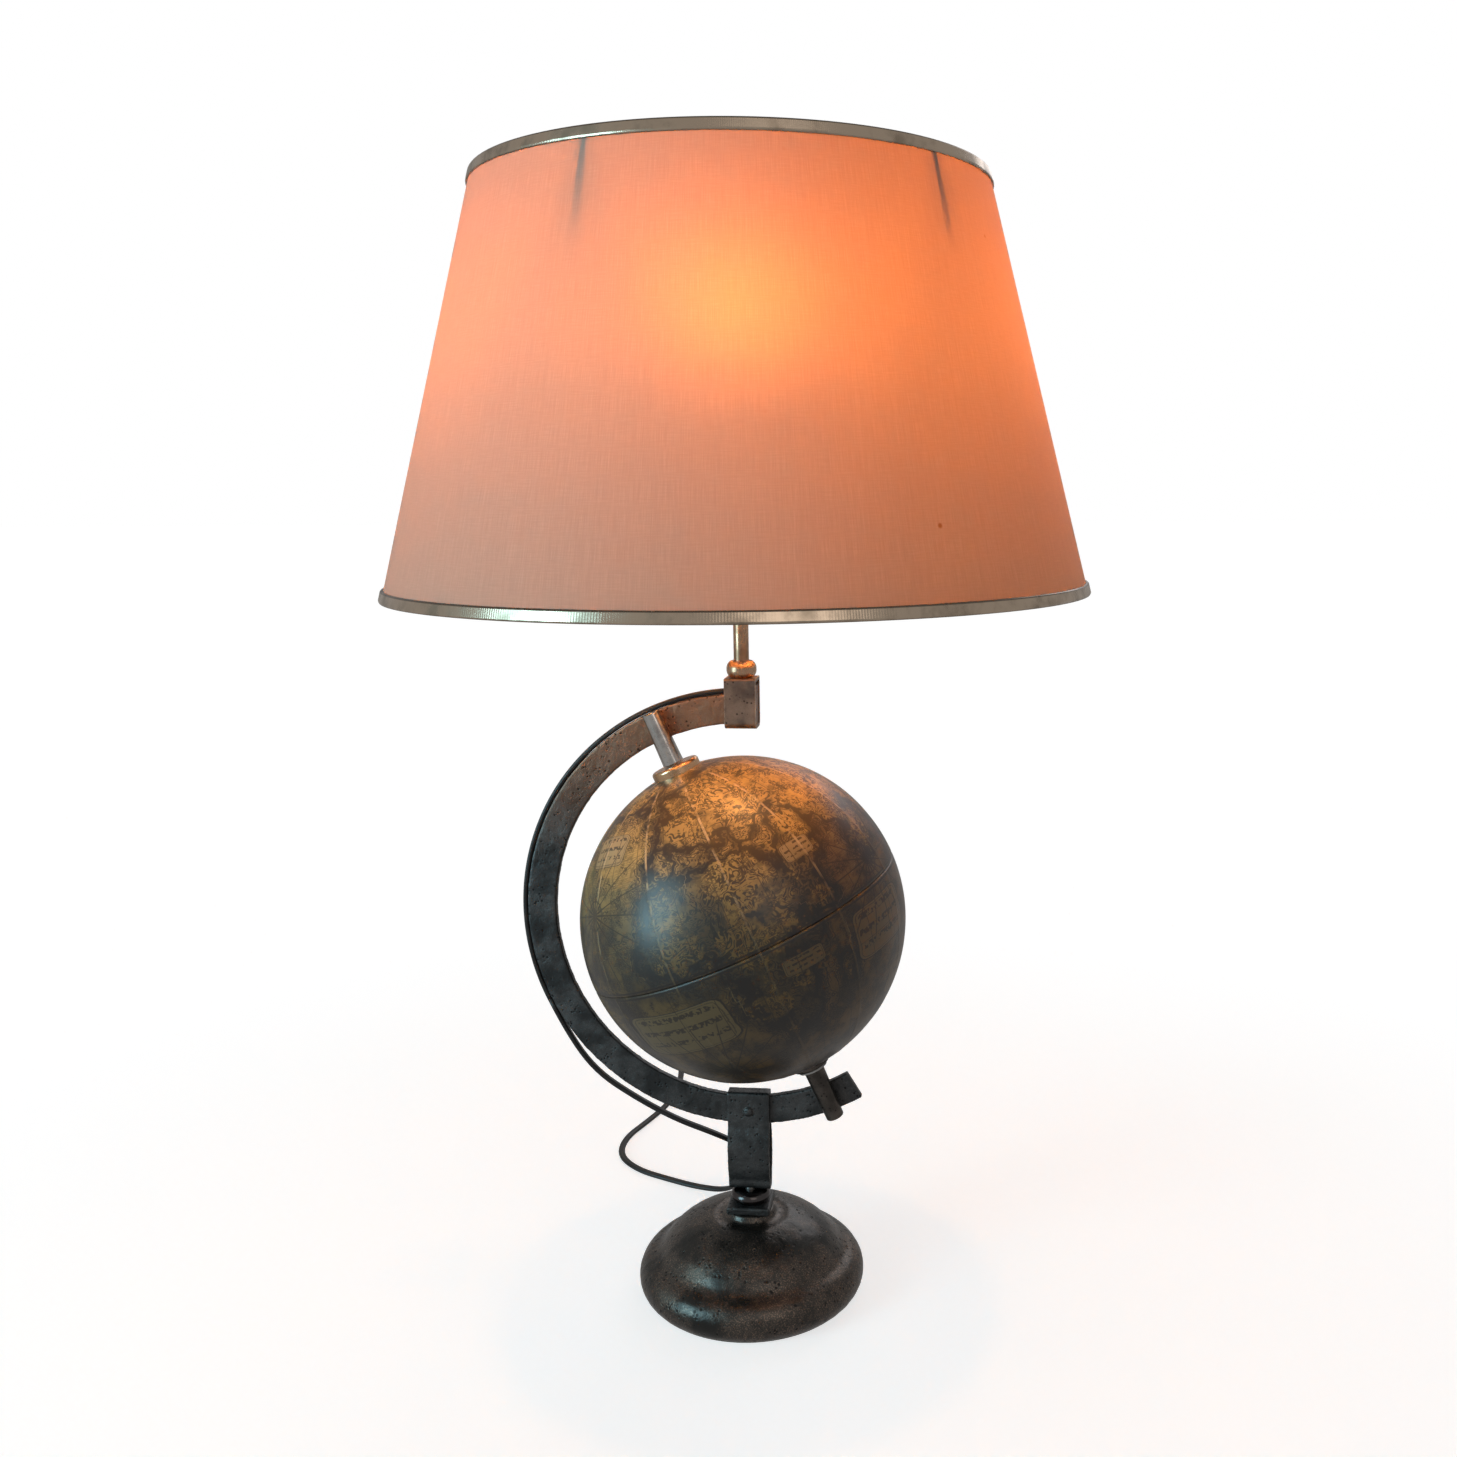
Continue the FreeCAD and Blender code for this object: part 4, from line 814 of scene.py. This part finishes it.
def make_map_print():
    """An old engraved map: coasts, hills, sea lines, grid, plaques and wind roses, with painted shade that
    darkens and browns it towards the south.
    """
    work = new_finish("map_print")
    spot = work.place()
    ball = work.vector("NORMALIZE", spot)
    axes = work.parts(ball)
    longitude = work.times(work.sum("ARCTAN2", axes[1], axes[0]), 180 / math.pi)
    latitude = work.times(work.sum("ARCSINE", axes[2]), 180 / math.pi)
    parallel = work.sum("SQRT", work.sum("SUBTRACT", 1.0, work.times(axes[2], axes[2])))
    coast_noise = work.noise(ball, 6.5, 3, 0.55)
    coast = work.times(work.sum("SUBTRACT", coast_noise, 0.5), 0.36)
    land = work.sum("ADD", work.add("Attribute", attribute_name="land").outputs["Fac"], coast)
    is_land = work.fade(land, -0.002, 0.004)

    # engraving: strokes that follow the coasts, hill marks inland, fine sea lines
    wave_noise = work.noise(ball, 26, 3, 0.6)
    rings = work.times(work.sum("ADD", land, work.times(wave_noise, 0.03)), 34.0)
    shore = work.near_line(rings, 0.15, 0.09)
    shore = work.times(shore, work.times(work.fade(land, -0.15, -0.09), work.fade(land, 0.002, -0.004)))
    outline = work.fade(work.sum("ABSOLUTE", land), 0.020, 0.011)
    hill_field = work.noise(ball, 9, 2, 0.5, 1.2)
    hill_lines = work.near_line(work.times(hill_field, 9.0), 0.21, 0.08)
    hill_gaps = work.fade(work.noise(ball, 30, 1), 0.38, 0.46)
    hill_patch = work.times(work.fade(work.noise(ball, 6.5, 3), 0.36, 0.50), hill_gaps)
    hills = work.times(hill_lines, hill_patch)
    hills = work.times(hills, work.fade(is_land, 0.0, 1.0, 0.55, 1.0))
    stroke_field = work.noise(work.stretch(ball, (1, 1, 2.6)), 16, 1, 0.5)
    strokes = work.near_line(work.times(stroke_field, 7.0), 0.19, 0.08)
    strokes = work.times(strokes, work.fade(work.noise(ball, 12, 2), 0.46, 0.56))
    fine = work.near_line(work.times(axes[2], 95.0), 0.12, 0.10)
    fine = work.times(fine, work.fade(is_land, 0.6, 0.4), work.fade(work.noise(ball, 7, 2), 0.42, 0.6))

    # lines of the globe: meridians, parallels, double equator, gore joins
    grid_step = 15.0
    gore_step = 30.0
    line_reach = 0.0016
    meridian_gap = work.times(line_reach, work.sum("DIVIDE", 1.0, parallel))
    turns = work.sum("DIVIDE", longitude, grid_step)
    off = work.times(work.off_whole(turns), math.radians(grid_step))
    meridians = work.fade(work.sum("DIVIDE", off, meridian_gap), 2.4, 1.2)
    parallels = work.near_line(work.sum("DIVIDE", latitude, grid_step), 0.006, 0.005)
    sea_line = work.sum("ABSOLUTE", latitude)
    equator = work.fade(work.sum("ABSOLUTE", work.sum("SUBTRACT", sea_line, 1.1)), 0.42, 0.22)
    gores = work.sum("DIVIDE", work.sum("ADD", longitude, 10.0), gore_step)
    join = work.times(work.off_whole(gores), math.radians(gore_step), parallel)
    gore_join = work.fade(join, 0.0085, 0.0050)
    gore_join = work.times(gore_join, work.fade(work.noise(ball, 12, 3), 0.38, 0.62))

    # plaques and wind roses
    beside = work.parts(work.add("Attribute", attribute_name="plaque").outputs["Vector"])
    plaque = work.use("cartouche", {"East": beside[0], "North": beside[1]})
    over = work.fade(beside[2], 0.5, 0.6)
    field = work.times(plaque["Field"], over)
    frame_ink = work.times(plaque["Frame"], over)
    about = work.parts(work.add("Attribute", attribute_name="rose").outputs["Vector"])
    rose = work.use("compass_rose", {"East": about[0], "North": about[1]})
    rhumbs = work.times(rose["Lines"], work.fade(is_land, 0.6, 0.4))
    rose_ink = work.times(work.most(rhumbs, rose["Star"]), work.fade(about[2], 0.6, 0.7))

    # colours: parchment, washes of tint, brown age, ink, then painted shade towards the south
    age = work.noise(ball, 3.2, 5, 0.6)
    wash = work.noise(ball, 6.0, 3, 0.5)
    paper = work.mix(work.fade(age, 0.35, 0.65), (0.66, 0.42, 0.125, 1), (0.42, 0.26, 0.075, 1))
    green = work.mix(work.fade(wash, 0.4, 0.6), (0.040, 0.044, 0.032, 1), (0.115, 0.090, 0.050, 1))
    tint_patch = work.fade(work.noise(ball, 5.2, 5, 0.62), 0.46, 0.53)
    tint = work.times(tint_patch, work.fade(latitude, 50, 5, 0.12, 0.80))
    land_tone = work.mix(tint, paper, green)
    northern = work.fade(latitude, 20, 48)
    sea_tone = work.mix(work.fade(wash, 0.36, 0.62), (0.38, 0.24, 0.085, 1), (0.12, 0.085, 0.040, 1))
    sea_tone = work.mix(work.times(northern, 0.75), sea_tone, paper)
    tone = work.mix(is_land, sea_tone, land_tone)
    coast_band = work.fade(work.sum("ABSOLUTE", work.sum("ADD", land, 0.012)), 0.085, 0.01)
    coast_band = work.times(coast_band, work.fade(work.noise(ball, 10, 3), 0.36, 0.52))
    tone = work.mix(work.times(coast_band, 0.88), tone, (0.026, 0.022, 0.015, 1))
    tone = work.mix(work.times(field, 0.88), tone, (0.46, 0.33, 0.16, 1))
    ink = work.most(shore, outline, work.times(hills, 0.95), work.times(strokes, 0.85),
                    work.times(fine, 0.40))
    ink = work.times(ink, work.fade(field, 0.7, 0.2))
    lines = work.most(work.times(meridians, 0.75), work.times(parallels, 0.6), equator)
    ink = work.most(ink, lines, frame_ink, work.times(rose_ink, 0.9))
    tone = work.mix(work.times(ink, 0.92), tone, (0.016, 0.011, 0.008, 1))
    join_light = work.fade(latitude, -15, 35, 0.25, 0.8)
    tone = work.mix(work.times(gore_join, join_light), tone, (0.74, 0.53, 0.27, 1))
    stain = work.fade(work.noise(ball, 2.1, 6, 0.65), 0.5, 0.75)
    tone = work.mix(work.times(stain, 0.4), tone, (0.035, 0.022, 0.013, 1))
    # Painted shade: the map is darkened and browned towards the south, unevenly.
    painted_south_shade = work.sum("ADD", latitude, work.times(work.noise(ball, 3.0, 3), 40.0))
    painted_south_shade = work.fade(painted_south_shade, 64, 24, 0.0, 0.92)
    tone = work.mix(painted_south_shade, tone, (0.27, 0.23, 0.175, 1), "MULTIPLY")

    relief = work.sum("SUBTRACT", gore_join, work.times(ink, 0.35))
    relief = work.sum("ADD", relief, work.times(work.noise(ball, 45, 4), 0.35))
    shine = work.fade(age, 0.3, 0.7, 0.38, 0.52)
    work.principled(tone, shine, 0.0, work.bump(relief, 0.22 * MM, 0.9), Coat_Weight=0.45,
                    Coat_Roughness=0.30)


# ---------------------------------------------------------------- globe


def globe_shell(name, side):
    """One half of the papered shell: twelve paper gores with raised joins, a fine groove at the rim."""
    outer = 108 * MM
    wall = 2.5 * MM
    pole_hole = 6.0 * MM
    rim_gap = 0.12 * MM
    steps = 360
    rows = 120
    top = math.pi / 2 - math.asin(pole_hole / outer)
    foot = math.asin(rim_gap / outer)
    gore = math.radians(30)
    join_turn = math.radians(-10)
    join_width = 0.9 * MM
    join_rise = 0.14 * MM
    groove_width = 0.8 * MM
    groove_depth = 0.25 * MM
    swell_height = 0.10 * MM
    sunk = 0.1 * MM

    def paper(latitude, longitude):
        off = (longitude - join_turn + gore / 2) % gore - gore / 2
        away = abs(off) * math.cos(latitude) * outer / join_width
        rise = join_rise * math.exp(-away * away)
        rim = math.exp(-((abs(latitude) * outer / groove_width) ** 2)) * groove_depth
        spot = toward(math.degrees(longitude), math.degrees(latitude))
        swell = swell_height * noise.noise(spot * 5.0)
        return outer + rise - rim + swell - sunk

    points = []
    for row in range(rows + 1):
        latitude = side * (foot + (top - foot) * row / rows)
        for step in range(steps):
            longitude = 2 * math.pi * step / steps
            reach = paper(latitude, longitude)
            points.append(reach * toward(math.degrees(longitude), math.degrees(latitude)))
    for row in range(rows, -1, -1):
        latitude = side * (foot + (top - foot) * row / rows)
        for step in range(steps):
            longitude = math.degrees(2 * math.pi * step / steps)
            points.append((outer - wall) * toward(longitude, math.degrees(latitude)))
    faces = grid_faces(2 * (rows + 1), steps, closed_rows=True)
    if side < 0:
        faces = [tuple(reversed(face)) for face in faces]
    half = new_piece(name, points, faces)
    balls = np.array([tuple(point) for point in points])
    chart_points(half, balls / np.linalg.norm(balls, axis=1)[:, None])
    return half


def make_globe():
    print_turn = math.radians(-94.6)
    lean = UP.rotation_difference(GLOBE_AXIS).to_matrix().to_4x4()
    facing = Matrix.Rotation(print_turn, 4, "Z")
    for name, node, side in (("globe_north_map", "globe_north_half", 1),
                             ("globe_south_map", "globe_south_half", -1)):
        half = globe_shell(name, side)
        half.matrix_world = Matrix.Translation(GLOBE_MIDDLE) @ lean @ facing
        give(half, "map_print")
        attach(half, "globe")
        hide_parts(node)


# ---------------------------------------------------------------- shade


def make_shade():
    """The silk, one sheet cut from part of a flat ring and stretched between the two wire rings."""
    foot, head = SHADE_LOW.z, SHADE_HIGH.z
    foot_radius = SHADE_HIGH.x
    past_ring = 1.35 * MM
    behind_trim = 0.15 * MM
    wander_reach = 0.12 * MM
    head_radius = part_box("shade_top_ring")[1].x + past_ring
    rows = 60
    steps = 360

    def wander(angle, height):
        spot = Vector((math.cos(angle), math.sin(angle), height * 4))
        return wander_reach * noise.noise(spot * 3.0)

    outline = []
    for row in range(rows + 1):
        share = row / rows
        outline.append((foot_radius + (head_radius - foot_radius) * share - behind_trim,
                        foot + (head - foot) * share))
    points = turned_points(outline, steps, wander)
    silk = new_piece("shade_silk", points, grid_faces(rows + 1, steps))
    give(silk, "shade_silk")
    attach(silk, "shade")
    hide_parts("shade_cover")


# ---------------------------------------------------------------- ironwork


def forge(node_name, voxel, depth, lumps):
    """Gives a CAD node rounded edges and a worked skin by modifiers."""
    node = nodes[node_name]
    remesh = node.modifiers.new("worked_mesh", "REMESH")
    remesh.mode = "VOXEL"
    remesh.voxel_size = voxel
    remesh.use_smooth_shade = True
    ease = node.modifiers.new("eased_edges", "SMOOTH")
    ease.factor = 0.5
    ease.iterations = 3
    dents = bpy.data.textures.new(node_name + "_dents", "CLOUDS")
    dents.noise_scale = lumps
    dents.noise_depth = 2
    hammer = node.modifiers.new("hammer_marks", "DISPLACE")
    hammer.texture = dents
    hammer.texture_coords = "LOCAL"
    hammer.strength = depth
    hammer.mid_level = 0.62


def make_ironwork():
    forge("meridian_bar", 0.8 * MM, 0.55 * MM, 6 * MM)
    forge("stem_strap", 0.6 * MM, 0.40 * MM, 5 * MM)
    forge("foot_plate", 0.5 * MM, 0.30 * MM, 4 * MM)
    forge("base_casting", 1.1 * MM, 0.45 * MM, 7 * MM)


finish_of_slot = {
    "base_iron": "cast_base_iron",
    "felt": "base_felt",
    "zinc_steel": "zinc_steel",
    "black_iron": "black_forged_iron",
    "brown_steel": "brown_block_steel",
    "gunmetal": "gunmetal",
    "brass": "warm_brass",
    "dark_collar": "dark_collar_metal",
    "post_steel": "post_steel",
    "map_print": "map_print",
    "card": "card_ring",
    "wire_sleeve": "black_sleeve",
    "porcelain": "glazed_porcelain",
    "bakelite": "bakelite",
    "bulb_metal": "bulb_cap_metal",
    "bulb_glass": "lit_bulb_glass",
    "bulb_stem": "glazed_porcelain",
    "shade_silk": "shade_silk",
    "shade_trim": "foil_trim",
    "ring_wire": "wire_steel",
    "cord_black": "black_sleeve",
    "tie": "tie_strap",
    "plug_black": "moulded_black",
    "pin_nickel": "pin_nickel",
}


def finish_nodes():
    for name, node in nodes.items():
        node.data.materials.clear()
        node.data.materials.append(bpy.data.materials[finish_of_slot[slots[name]]])
    give(nodes["upper_pole_collar"], "collar_brass")


# ---------------------------------------------------------------- build

make_camera()
make_studio()
make_hammered()
make_rubbed_edges()
make_brushed()
make_dust()
make_compass_rose()
make_cartouche()
make_metals()
make_plastics()
make_bulb_finishes()
make_shade_finishes()
make_map_print()
make_floor()
finish_nodes()
make_cord()
make_globe()
make_shade()
make_ironwork()
bpy.context.scene.view_settings.view_transform = "Standard"

bpy.context.view_layer.update()
